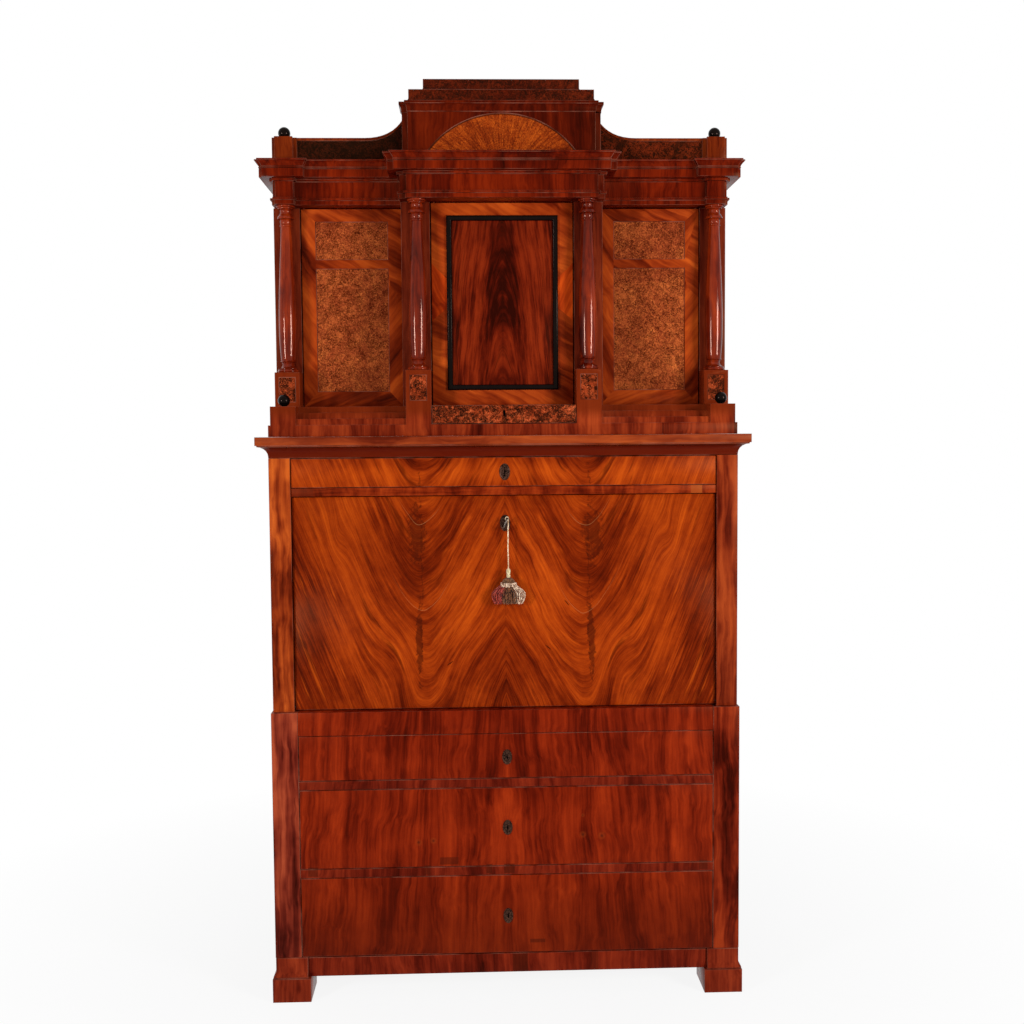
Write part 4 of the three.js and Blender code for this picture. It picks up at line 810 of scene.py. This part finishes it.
def strandMesh(name, routes, radius, corners=6):   # round strands as one mesh
    curve = bpy.data.curves.new(name, "CURVE")
    curve.dimensions = "3D"
    curve.bevel_depth = radius
    curve.bevel_resolution = corners // 2 - 2
    curve.use_fill_caps = True
    for route in routes:
        spline = curve.splines.new("POLY")
        spline.points.add(len(route) - 1)
        for point, place in zip(spline.points, route):
            point.co = (*place, 1)
    strand = bpy.data.objects.new(name, curve)
    scene.collection.objects.link(strand)
    choose(strand)
    bpy.ops.object.convert(target="MESH")
    return bpy.context.object


def laidStrands(route, diameter, plies, lay):   # plies that wind round a route
    length = sum((b - a).length for a, b in zip(route, route[1:]))
    routes = []
    for ply in range(plies):
        strand, gone = [], 0
        for i, place in enumerate(route):
            ahead = route[min(i + 1, len(route) - 1)] - route[max(i - 1, 0)]
            sideways = Vector((0, 1, 0)).cross(ahead).normalized()
            other = ahead.cross(sideways).normalized()
            turn = 2 * math.pi * (gone / lay + ply / plies)
            strand.append(place + (sideways * math.cos(turn) + other * math.sin(turn)) * diameter * 0.25)
            gone += length / (len(route) - 1)
        routes.append(strand)
    return routes


def makeCord(looks):
    f = cordFacts
    points = [keyhole + Vector(point) * mm for point in f["points"] + f["through"]]
    route, length = smoothRoute(points, f["lay"] / f["perLay"])
    cord = strandMesh("cord", laidStrands(route, f["diameter"], f["plies"], f["lay"]), f["diameter"] * 0.27, 8)
    settle(cord, "tassel_cord", "hanging_tassel", looks["cordYarn"], ["key_cord"], 60)
    print("cord", round(length, 4))
    return cord, points, length


hitchFacts = {"ring": 4.3, "shrink": 0.5, "apart": 1.1, "around": 40, "yarn": 1.5 * mm, "strand": 0.4675 * mm,
              "knot": (6.2, -11, 8.2), "knotSize": (1.7, 1.4, 1.8), "wraps": 3, "knotYarn": 0.75 * mm}


def around(middle, angle, x, y, z=0):   # a place on an oval round the middle, in mm
    return middle + Vector((math.cos(angle) * x, math.sin(angle) * y, z)) * mm


def makeHitch(looks):   # two turns of cord round the top of the key's bow, and the knot under them
    f = hitchFacts
    low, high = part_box("cord_hitch")
    middle = (Vector(low) + Vector(high)) / 2
    routes = []
    for turn in (0, 1):
        radius, ring = f["ring"] - f["shrink"] * turn, []
        for i in range(f["around"]):
            angle = 2 * math.pi * i / f["around"]
            place = (math.cos(angle) * radius, (turn - 0.5) * f["apart"], math.sin(angle) * radius)
            ring.append(middle + Vector(place) * mm)
        routes += laidStrands(ring + [ring[0]], f["yarn"], 2, cordFacts["lay"])
    rings = strandMesh("turns", routes, f["strand"], 8)
    knotMiddle = keyhole + Vector(f["knot"]) * mm
    x, y, z = f["knotSize"]
    wraps = [around(knotMiddle, 2 * math.pi * i / 20, x, y, z - i * 0.06) for i in range(20 * f["wraps"] + 1)]
    hitch = joinPieces(rings, strandMesh("knot", [wraps], f["knotYarn"], 8))
    return settle(hitch, "cord_knot_turns", "cord_knot", looks["cordYarn"], ["cord_hitch"], 60)


# Tassel: heights are mm from the keyhole, down from the cord's end
tasselFacts = {
    "top": -112.3, "bead": (5.8, 13), "lower": (5.2, 7.5), "dome": (17, 18), "domeDepth": 0.75, "yarn": 0.6,
    "net": {"strands": 18, "turn": 1.1, "yarn": 0.55 * mm}, "seed": 11,
    "ruff": {"loops": 34, "spread": 2.2, "bulge": 1.6, "lift": 4.5, "depth": 0.8, "yarn": 0.95 * mm},
    "skirtFoot": -202, "skirtTop": -151, "depth": 14.5, "strand": 0.85 * mm, "outer": 0.62,
    "tufts": [   # middle across, half width, forward, strands, look
        ("red", -26, 15.5, 0, 34, "redYarn"), ("brownLeft", -6, 12, -4, 36, "brownYarn"),
        ("brownRight", 10, 14, -3, 42, "brownYarn"), ("cream", 27, 14.5, 1, 34, "creamYarn"),
    ],
}


def makeTassel(looks):
    f = tasselFacts
    axis = keyhole + Vector(cordFacts["points"][-1]) * mm
    axis.z = keyhole.z
    beadFoot = f["top"] - f["bead"][1]
    domeTop = beadFoot - f["lower"][1]
    domeRadius, domeHeight = f["dome"][0] - 1.2, f["dome"][1] - 1
    domeFoot = domeTop - f["dome"][1]
    pieces = []

    def keep(name, piece, look):
        pieces.append(settle(piece, "tassel_" + name, "hanging_tassel", looks[look], (), 60))

    def wound(name, radius, high, low, bow):   # yarn wound round a bead in flat turns
        turns = max(4, int((high - low) / 1.1))
        wrap = []
        for i in range(turns * 20 + 1):
            t = i / (turns * 20)
            r = radius * (1 - bow + bow * math.sin(math.pi * min(max(t, 0.02), 0.98)))
            wrap.append(around(axis, 2 * math.pi * i / 20, r, r, high + (low - high) * t))
        outline = swell(radius * (1 - bow), radius * bow, low, high, 10)[1:]
        core = turnPiece([(0, low)] + outline + [(0, high)], 24, mm)
        core.location = axis
        fixPlace(core)
        keep(name, joinPieces(core, strandMesh(name, [wrap], 0.62 * mm)), "beadYarn")

    wound("bead", f["bead"][0] - f["yarn"], f["top"], beadFoot + f["yarn"], 0.35)
    wound("lower_bead", f["lower"][0] - f["yarn"], beadFoot, domeTop, 0.15)

    def dome(t):   # radius and height from the foot, t from the foot to the crown
        return domeRadius * math.cos(t * math.pi / 2) ** 0.8, domeHeight * math.sin(t * math.pi / 2)

    core = turnPiece([(0, 0)] + [dome(i / 10) for i in range(10)] + [(0, domeHeight)], 32, mm)
    core.location = axis + Vector((0, 0, domeFoot)) * mm
    core.scale.y = f["domeDepth"]
    fixPlace(core)
    lattice = []
    for way in (-1, 1):
        for k in range(f["net"]["strands"]):
            strand = []
            for t in (i / 14 for i in range(14)):
                radius = (domeRadius + 0.5) * math.cos(t * math.pi / 2) ** 0.8
                angle = 2 * math.pi * k / f["net"]["strands"] + way * t * f["net"]["turn"]
                strand.append(around(axis, angle, radius, radius * f["domeDepth"], domeFoot + dome(t)[1]))
            lattice.append(strand)
    keep("dome", joinPieces(core, strandMesh("net", lattice, f["net"]["yarn"])), "netYarn")

    random.seed(f["seed"])
    ruff, loops = f["ruff"], []
    for k in range(ruff["loops"]):   # loops of yarn tied round the dome's foot
        angle = 2 * math.pi * k / ruff["loops"] + random.uniform(-0.06, 0.06)
        reach = domeRadius + 0.2 + random.uniform(0, ruff["spread"])
        loop = []
        for t in (i / 12 for i in range(13)):
            r = reach + ruff["bulge"] * math.sin(math.pi * t)
            lift = domeFoot + ruff["lift"] * math.sin(2 * math.pi * t) + random.uniform(-0.4, 0.4)
            loop.append(around(axis, angle + 0.5 * (t - 0.5), r, r * ruff["depth"], lift))
        loops.append(loop)
    keep("ruff", strandMesh("ruff", loops, ruff["yarn"]), "creamYarn")

    top = f["skirtTop"] + 4
    for name, middle, half, forward, count, look in f["tufts"]:
        outer, strands = count * f["outer"], []
        for k in range(count):
            ring = 1 if k < outer else 0.6
            angle = 2 * math.pi * (k + random.uniform(-0.3, 0.3)) / outer
            foot = f["skirtFoot"] + 2.5 + random.uniform(0, 4) + (4 if ring < 1 else 0)
            strand = []
            for t in (i / 8 for i in range(9)):
                belly = ring * math.sin(math.pi * min(0.06 + 0.8 * t, 1)) ** 0.8
                x = middle * (0.25 + 0.75 * min(1, t * 2.1)) + math.cos(angle) * half * belly
                y = forward * t + math.sin(angle) * f["depth"] * 0.82 * belly
                y = max(-f["depth"], min(f["depth"] - 1, y))
                strand.append(axis + Vector((x, y, top + (foot - top) * t)) * mm)
            strands.append(strand)
        keep("tuft_" + name, strandMesh(name, strands, f["strand"]), look)
    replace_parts(pieces[2], "tassel")
    print("tassel pieces", len(pieces))
    return pieces


def hangTassel(looks):
    cord, points, length = makeCord(looks)
    hitch = makeHitch(looks)
    tassel = makeTassel(looks)


# Key: an oval bow, a turned shaft and a bit, in mm
keyFacts = {"half": (14.5, 9), "wire": 3.4, "thick": 3.2, "ease": 1.1 * mm, "tilt": 20, "centre": -11,
            "shaft": 2.5, "tip": 31.3, "bit": (3, 6, 9)}


def makeKey(looks):
    f = keyFacts
    clearAll()
    bpy.ops.mesh.primitive_circle_add(vertices=48, radius=1, fill_type="NGON")
    bow = bpy.context.object
    bow.scale = (f["half"][0] * mm, f["half"][1] * mm, 1)
    bpy.ops.object.transform_apply()
    work(bow)
    selectAll()
    inset(f["wire"] * mm)
    bpy.ops.mesh.delete(type="FACE")
    selectAll()
    pull(0, 0, f["thick"] * mm)
    turnOut()
    pick(bow, lambda e: abs(e.verts[0].co.z - e.verts[1].co.z) < 0.1 * mm
         and len({round(f.normal.z) for f in e.link_faces}) > 1, "EDGE")
    bpy.ops.mesh.bevel(offset=f["ease"], segments=4, affect="EDGES")
    bpy.ops.object.mode_set(mode="OBJECT")
    centre = keyhole + Vector((0, f["centre"], 0)) * mm
    turn = Matrix.Rotation(math.radians(f["tilt"]) - math.pi / 2, 4, "Y")
    bow.matrix_world = Matrix.Translation(centre) @ turn @ Matrix.Translation((0, 0, -f["thick"] / 2 * mm))

    start = f["centre"] + f["half"][1] - f["wire"] / 2
    length = f["tip"] - start
    full, neck = f["shaft"], f["shaft"] * 0.9
    outline = [(0, 0), (neck, 0), *swell(neck, 1.1, 1, 4), *swell(neck, 0.6, 5, 6.6), (full * 0.86, 8),
               (full, length - 1), (full * 0.8, length), (0, length)]
    shaft = turnPiece(outline, 32, mm)
    shaft.matrix_world = (Matrix.Translation(keyhole + Vector((0, start, 0)) * mm)
                          @ Matrix.Rotation(-math.pi / 2, 4, "X"))
    wide, thick, deep = (size * mm for size in f["bit"])
    tip = keyhole.y + f["tip"] * mm
    bit = slab((-wide / 2, tip - thick, keyhole.z - deep), (wide / 2, tip, keyhole.z), 0.3 * mm)
    settle(joinPieces(bow, shaft, bit), "key_forged", "lock_key", looks["keyIron"], ["key"], 40)
    print("key ready")


# Escutcheons: an oval plate with a raised rim and a keyhole through it; node, size in mm and height of each
plates = {
    "flap": ("flap_panel", (25, 40), 1.19), "top_drawer": ("top_drawer_front", (26, 41), 1.3165),
    "base_drawer_1": ("base_drawer_1_front", (24, 38), 0.609),
    "base_drawer_2": ("base_drawer_2_front", (24, 38), 0.431),
    "base_drawer_3": ("base_drawer_3_front", (24, 38), 0.206),
}
plateFacts = {"thick": 1.3 * mm, "rim": 2.2 * mm, "dish": 0.7 * mm, "boss": 4.6 * mm, "lip": 0.8 * mm,
              "hole": (3.3, 15), "wellHigh": 11 * mm, "bed": 0.05 * mm}
wellFacts = {"plate": (0.3 * mm, 1 * mm, 0.15 * mm), "bare": (0.6 * mm, 0.9 * mm, 0.45 * mm)}


def makeWell(looks, name, body, half, ends, back, kind):   # the inside of a keyhole, painted near-black: painted shade
    thick, rim, sink = wellFacts[kind]
    well = flatFace((-half, half), ends, back, 24)
    pull(0, -thick, 0)
    inset(rim, sink)
    closeUp()
    settle(well, name + "_keyhole", body, looks["hole"], (), 40)


def makeEscutcheons(looks):
    f = plateFacts
    rim, lip = f["rim"], f["lip"]
    holeX, holeZ = (size / 2 * mm for size in f["hole"])
    for name, (node, size, z) in plates.items():
        halfX, halfZ = (value / 2 * mm for value in size)
        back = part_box(node)[0][1] - f["bed"]
        plate = flatFace((-halfX, halfX), (z - halfZ, z + halfZ), back, 48)
        pull(0, -f["thick"], 0)
        inset(rim * 0.45)
        inset(rim * 0.55, f["dish"])
        inset(halfX - rim - f["boss"], -0.25 * mm)
        ring = [vert for vert in bmesh.from_edit_mesh(plate.data).verts if vert.select]
        reach = max(abs(vert.co.z - z) for vert in ring)
        inset(lip)
        bpy.ops.transform.resize(value=(holeX / (f["boss"] - lip), 1, holeZ / (reach - lip)),
                                 center_override=(0, back, z))
        bpy.ops.mesh.delete(type="FACE")
        closeUp()
        settle(plate, name + "_escutcheon", name, looks["darkBrass"], (), 40)
        makeWell(looks, name, name, f["boss"], (z - f["wellHigh"], z + f["wellHigh"]), back, "plate")
    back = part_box("plinth_drawer")[0][1] - f["bed"]
    makeWell(looks, "plinth_drawer", "middle_drawer", 3 * mm, (1.453, 1.469), back, "bare")
    print("escutcheons ready")


# Columns, turned once and copied to their places: radius, bulge and heights in mm from the foot
columnFacts = {
    "torus": (24.4, 2.8, 0, 8), "bell": (25.6, 14.5, 21.7, 3.4),
    "beads": [(15, 1.7, 22, 26.4), (18, 2, 26.8, 31)],
    "shaft": [(18.2, 31), (18.6, 33), (19.3, 43), (20.5, 58), (21.5, 76), (22.1, 100), (22.3, 126), (22.1, 150),
              (21.5, 174), (20.5, 206), (19.1, 240), (17.5, 273), (15.7, 306.5), (14.3, 337), (13.4, 358),
              (13.3, 363)],
    "neck": [(14.2, 1.8, 363.4, 368.4), (13.7, 1.3, 368.8, 382.6)],
    "bowl": [(20.6, 383), (21.3, 384.2), (21.1, 386), (19.6, 389), (17.6, 391.8), (15.8, 394.2), (15, 396.3)],
    "top": [(13.5, 1.2, 396.8, 407), (19, 1, 407.4, 411), (22.3, 1.1, 411.3, 416.1)], "steps": 64,
}


def columnOutline(height):
    f = columnFacts
    wide, narrow, top, hollow = f["bell"]
    foot = f["torus"][3] + 0.9
    points = [(0, 0), *swell(*f["torus"], 8), (wide, foot - 0.6), (wide, foot)]
    for t in (i / 8 for i in range(1, 9)):
        points.append((wide + (narrow - wide) * t - hollow * math.sin(math.pi * t ** 0.8), foot + (top - foot) * t))
    points += [place for bead in f["beads"] for place in swell(*bead)] + f["shaft"]
    points += [place for bead in f["neck"] for place in swell(*bead, 8)] + f["bowl"]
    points += [place for bead in f["top"] for place in swell(*bead)]
    stretch = height / points[-1][1]
    return [(r * mm, z * stretch * mm) for r, z in points + [(0, points[-1][1])]]


def placeCopies(master, names, look):   # a turned master is copied to each node's place and then removed
    for name in names:
        low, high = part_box(name)
        twin = copyPiece(master)
        twin.matrix_world = Matrix.Translation(((low[0] + high[0]) / 2, (low[1] + high[1]) / 2, low[2]))
        settle(twin, name + "_turned", "cabinet", look, [name], 28)
    bpy.data.objects.remove(master)


def makeColumns(looks):
    names = [f"column_{row}_{side}" for row in ("outer", "inner") for side in sides]
    low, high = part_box(names[0])
    master = turnPiece(columnOutline((high[2] - low[2]) / mm), columnFacts["steps"])
    placeCopies(master, names, looks["column"])
    print("columns ready")


def makeBalls(looks):   # each ball is cut flat where it sits
    for kind in ("ball", "finial"):
        low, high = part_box(kind + "_left")
        height, radius = high[2] - low[2], (high[0] - low[0]) / 2
        start = math.acos((height - radius) / radius)
        turns = [start + (math.pi - start) * i / 24 for i in range(24)]
        outline = [(radius * math.sin(turn), height - radius - radius * math.cos(turn)) for turn in turns]
        master = turnPiece([(0, 0), *outline, (0, height)], 40)
        placeCopies(master, [f"{kind}_{side}" for side in sides], looks["ebonised"])
    print("balls ready")


# Black half-round moulding on the centre door, mitred at its corners
beadWidth = 13.5 * mm


def makeMoulding(looks):
    low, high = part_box("center_door_moulding")
    ring = flatFace((low[0], high[0]), (low[2], high[2]), high[1])
    inset(beadWidth)
    bpy.ops.mesh.delete(type="FACE")
    selectAll()
    pull(0, low[1] - high[1], 0)
    turnOut()
    pick(ring, lambda e: all(v.co.y < low[1] + 0.1 * mm for v in e.verts)
         and any(abs(f.normal.y) < 0.5 for f in e.link_faces), "EDGE")
    bpy.ops.mesh.bevel(offset=beadWidth / 2 * 0.97, segments=8, affect="EDGES")
    bpy.ops.object.mode_set(mode="OBJECT")
    settle(ring, "center_door_bead", "center_door", looks["ebonised"], ["center_door_moulding"], 40)
    print("moulding ready")


# Case pieces: each board's arrises are eased, and its faces get their veneers
def easeNode(looks, name, look, veneers=(), width=0.7 * mm, mitres=()):
    board = copyPiece(nodes[name])
    board.hide_render = False
    work(board)
    selectAll()
    bpy.ops.mesh.remove_doubles(threshold=0.01 * mm)
    bpy.ops.mesh.dissolve_limited(angle_limit=math.radians(0.4))
    for corner, across, test in mitres:
        pick(board, test)
        bpy.ops.mesh.bisect(plane_co=corner, plane_no=across)
    board.data.materials.clear()
    for finish in (look, "edge", *(veneer for _, veneer, *_ in veneers)):
        board.data.materials.append(looks[finish])
    for number, (test, _, *rim) in enumerate(veneers, 2):
        pick(board, lambda face: test(face.calc_center_median(), face.normal))
        if rim:   # a pale line is left round the veneer: a painted highlight
            board.active_material_index = 1
            bpy.ops.object.material_slot_assign()
            inset(rim[0])
        board.active_material_index = number
        bpy.ops.object.material_slot_assign()
    choose(board)
    bpy.ops.object.modifier_add(type="BEVEL")
    bevel = board.modifiers[-1]
    # the eased arrises take the edge colour: wear and painted highlight
    bevel.width, bevel.segments, bevel.material = width, 2, 1
    bevel.limit_method, bevel.angle_limit, bevel.harden_normals = "ANGLE", math.radians(40), False
    bpy.ops.object.modifier_apply(modifier=bevel.name)
    body = next(b for b, parts in frame["record"]["behaviour"]["bodies"].items() if name in parts)
    settle(board, name + "_board", body, None, [name])


def facing(y, tolerance=0.3 * mm):   # a face that looks to the room at this depth
    return lambda middle, normal: normal.y < -0.9 and abs(middle.y - y) < tolerance


cases = {
    "basePost": ["base_side_left"],
    "basePostRight": ["base_side_right"],
    "apron": ["base_apron", "base_rail_upper", "base_rail_lower"],
    "foot": ["front_foot_left", "front_foot_right", "rear_foot_left", "rear_foot_right"],
    "deskPost": ["desk_side_left"],
    "deskPostRight": ["desk_side_right"],
    "rail": ["desk_rail"],
    "drawer": ["base_drawer_1_front", "base_drawer_2_front", "base_drawer_3_front", "base_top"],
    "flame": ["top_drawer_front", "flap_panel"],
    "slab": ["desk_cornice"],
    "temple": ["entablature"],
    "inner": ["writing_floor", "interior_case"],
}
pedestals = {"fronts": (-0.1348, -0.2188), "middles": (0.5405, 0.2095), "half": 0.025, "foot": 1.482, "top": 1.567,
             "rim": 1 * mm}
temple = {"wall": -0.108, "wallEnd": 0.509, "lunetteBack": 10 * mm}


def pedestalInset(middle, normal):
    f = pedestals
    return (f["foot"] < middle.z < f["top"] and any(facing(y, 0.5 * mm)(middle, normal) for y in f["fronts"])
            and any(abs(abs(middle.x) - x) < f["half"] for x in f["middles"]))


def easeCases(looks):
    for look, names in cases.items():
        for name in names:
            easeNode(looks, name, look)
    easeNode(looks, "upper_plinth", "plinth", [(pedestalInset, "darkBurr", pedestals["rim"])])
    easeNode(looks, "upper_carcass", "carcass")
    easeNode(looks, "plinth_drawer", "darkBurr")
    easeNode(looks, "crest", "crest")
    lunetteFace = facing(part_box("pediment")[0][1] + temple["lunetteBack"])
    easeNode(looks, "pediment", "pediment", [(lunetteFace, "lunette")])
    wall = facing(temple["wall"])
    # the left gallery takes the darker, painted-shade burr
    for side, look in zip(sides, ("blackBurrLeft", "blackBurr")):
        easeNode(looks, "gallery_" + side, "upright",
                 [(lambda m, n: wall(m, n) and abs(m.x) < temple["wallEnd"], look)], 0.5 * mm)
    print("cases ready")


doorFacts = {"side": 35 * mm, "foot": 38 * mm, "top": 31 * mm, "sunk": 2.5 * mm, "rim": 1.3 * mm, "ease": 0.6 * mm,
             "panelMargin": 13 * mm, "panelThick": 0.6 * mm, "panelOver": 0.02 * mm}


def dressDoors(looks):
    f = doorFacts
    for name in ("door_left", "door_right", "door_center"):
        centre = name == "door_center"
        low, high = (Vector(corner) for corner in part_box(name))
        if centre:
            start, end = (Vector(corner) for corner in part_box("center_door_moulding"))
        else:
            start = low + Vector((f["side"], 0, f["foot"]))
            end = high - Vector((f["side"], 0, f["top"]))
        front = facing(low.y)
        mitres = []
        for outZ, inZ in ((low.z, start.z), (high.z, end.z)):
            for outX, inX in ((low.x, start.x), (high.x, end.x)):
                mitres.append(((outX, low.y, outZ), (inZ - outZ, 0, outX - inX),
                               lambda face: front(face.calc_center_median(), face.normal)))
        kind = "centre" if centre else "frame"
        veneers = [
            (lambda m, n: front(m, n) and m.x < start.x, kind + "StileLeft"),
            (lambda m, n: front(m, n) and m.x > end.x, kind + "Stile"),
            (lambda m, n: front(m, n) and start.x < m.x < end.x and m.z > end.z, kind + "Top"),
            (lambda m, n: front(m, n) and start.x < m.x < end.x and m.z < start.z, kind + "Foot"),
        ]
        if not centre:
            veneers.append((facing(low.y + f["sunk"]), "burr", f["rim"]))
        easeNode(looks, name, "frameTop", veneers, f["ease"], mitres)
    low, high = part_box("center_door_moulding")
    margin = f["panelMargin"]
    panel = slab((low[0] + margin, high[1] - f["panelThick"], low[2] + margin),
                 (high[0] - margin, high[1] + f["panelOver"], high[2] - margin), 0.2 * mm)
    settle(panel, "center_door_panel", "center_door", looks["flamePanel"])
    print("doors ready")


# Writing leather with a gilt line, let into the flap's inner face
leatherFacts = {"half": 0.4519, "foot": 0.8001, "top": 1.1324, "face": -0.1913, "bed": -0.1919, "line": 12 * mm,
                "gold": 1.6 * mm, "pressed": 0.12 * mm}


def makeLeather(looks):
    f = leatherFacts
    sheet = flatFace((-f["half"], f["half"]), (f["foot"], f["top"]), f["bed"], way=-1)
    pull(0, f["face"] - f["bed"], 0)
    inset(f["line"])
    for sink in (-1, -1, 2):
        inset(f["gold"] / 2, sink * f["pressed"])
    closeUp()
    sheet.data.materials.append(looks["leather"])
    sheet.data.materials.append(looks["gilt"])
    middle, halfHigh = (f["top"] + f["foot"]) / 2, (f["top"] - f["foot"]) / 2
    edge = f["line"] + f["gold"] * 1.6
    for face in sheet.data.polygons:
        x, z = abs(face.center.x), abs(face.center.z - middle)
        inLine = x > f["half"] - edge or z > halfHigh - edge
        outLine = x < f["half"] - f["line"] and z < halfHigh - f["line"]
        face.material_index = 1 if inLine and outLine and face.normal.y > 0.2 else 0
    settle(sheet, "writing_leather", "flap", None)
    print("leather ready")


# The model's own pieces that stay: boxes, backs, arms, lock and small drawers
kept = {
    "secondary": ["base_floor", "base_drawer_1_box", "base_drawer_2_box", "base_drawer_3_box", "top_drawer_box"],
    "backBoards": ["base_back", "desk_back"],
    "inner": ["interior_drawer_left_1", "interior_drawer_left_2", "interior_drawer_right_1",
              "interior_drawer_right_2"],
    "iron": ["flap_arm_left", "flap_arm_right", "flap_lock_bolt"],
    "brass": ["flap_lock_case"],
}


def paintNodes(looks):
    for look, names in kept.items():
        for name in names:
            nodes[name].data.materials.clear()
            nodes[name].data.materials.append(looks[look])


buildStudio()
looks = makeLooks()
for step in (hangTassel, makeKey, makeEscutcheons, makeColumns, makeBalls, makeMoulding, easeCases, dressDoors,
             makeLeather, paintNodes):
    step(looks)
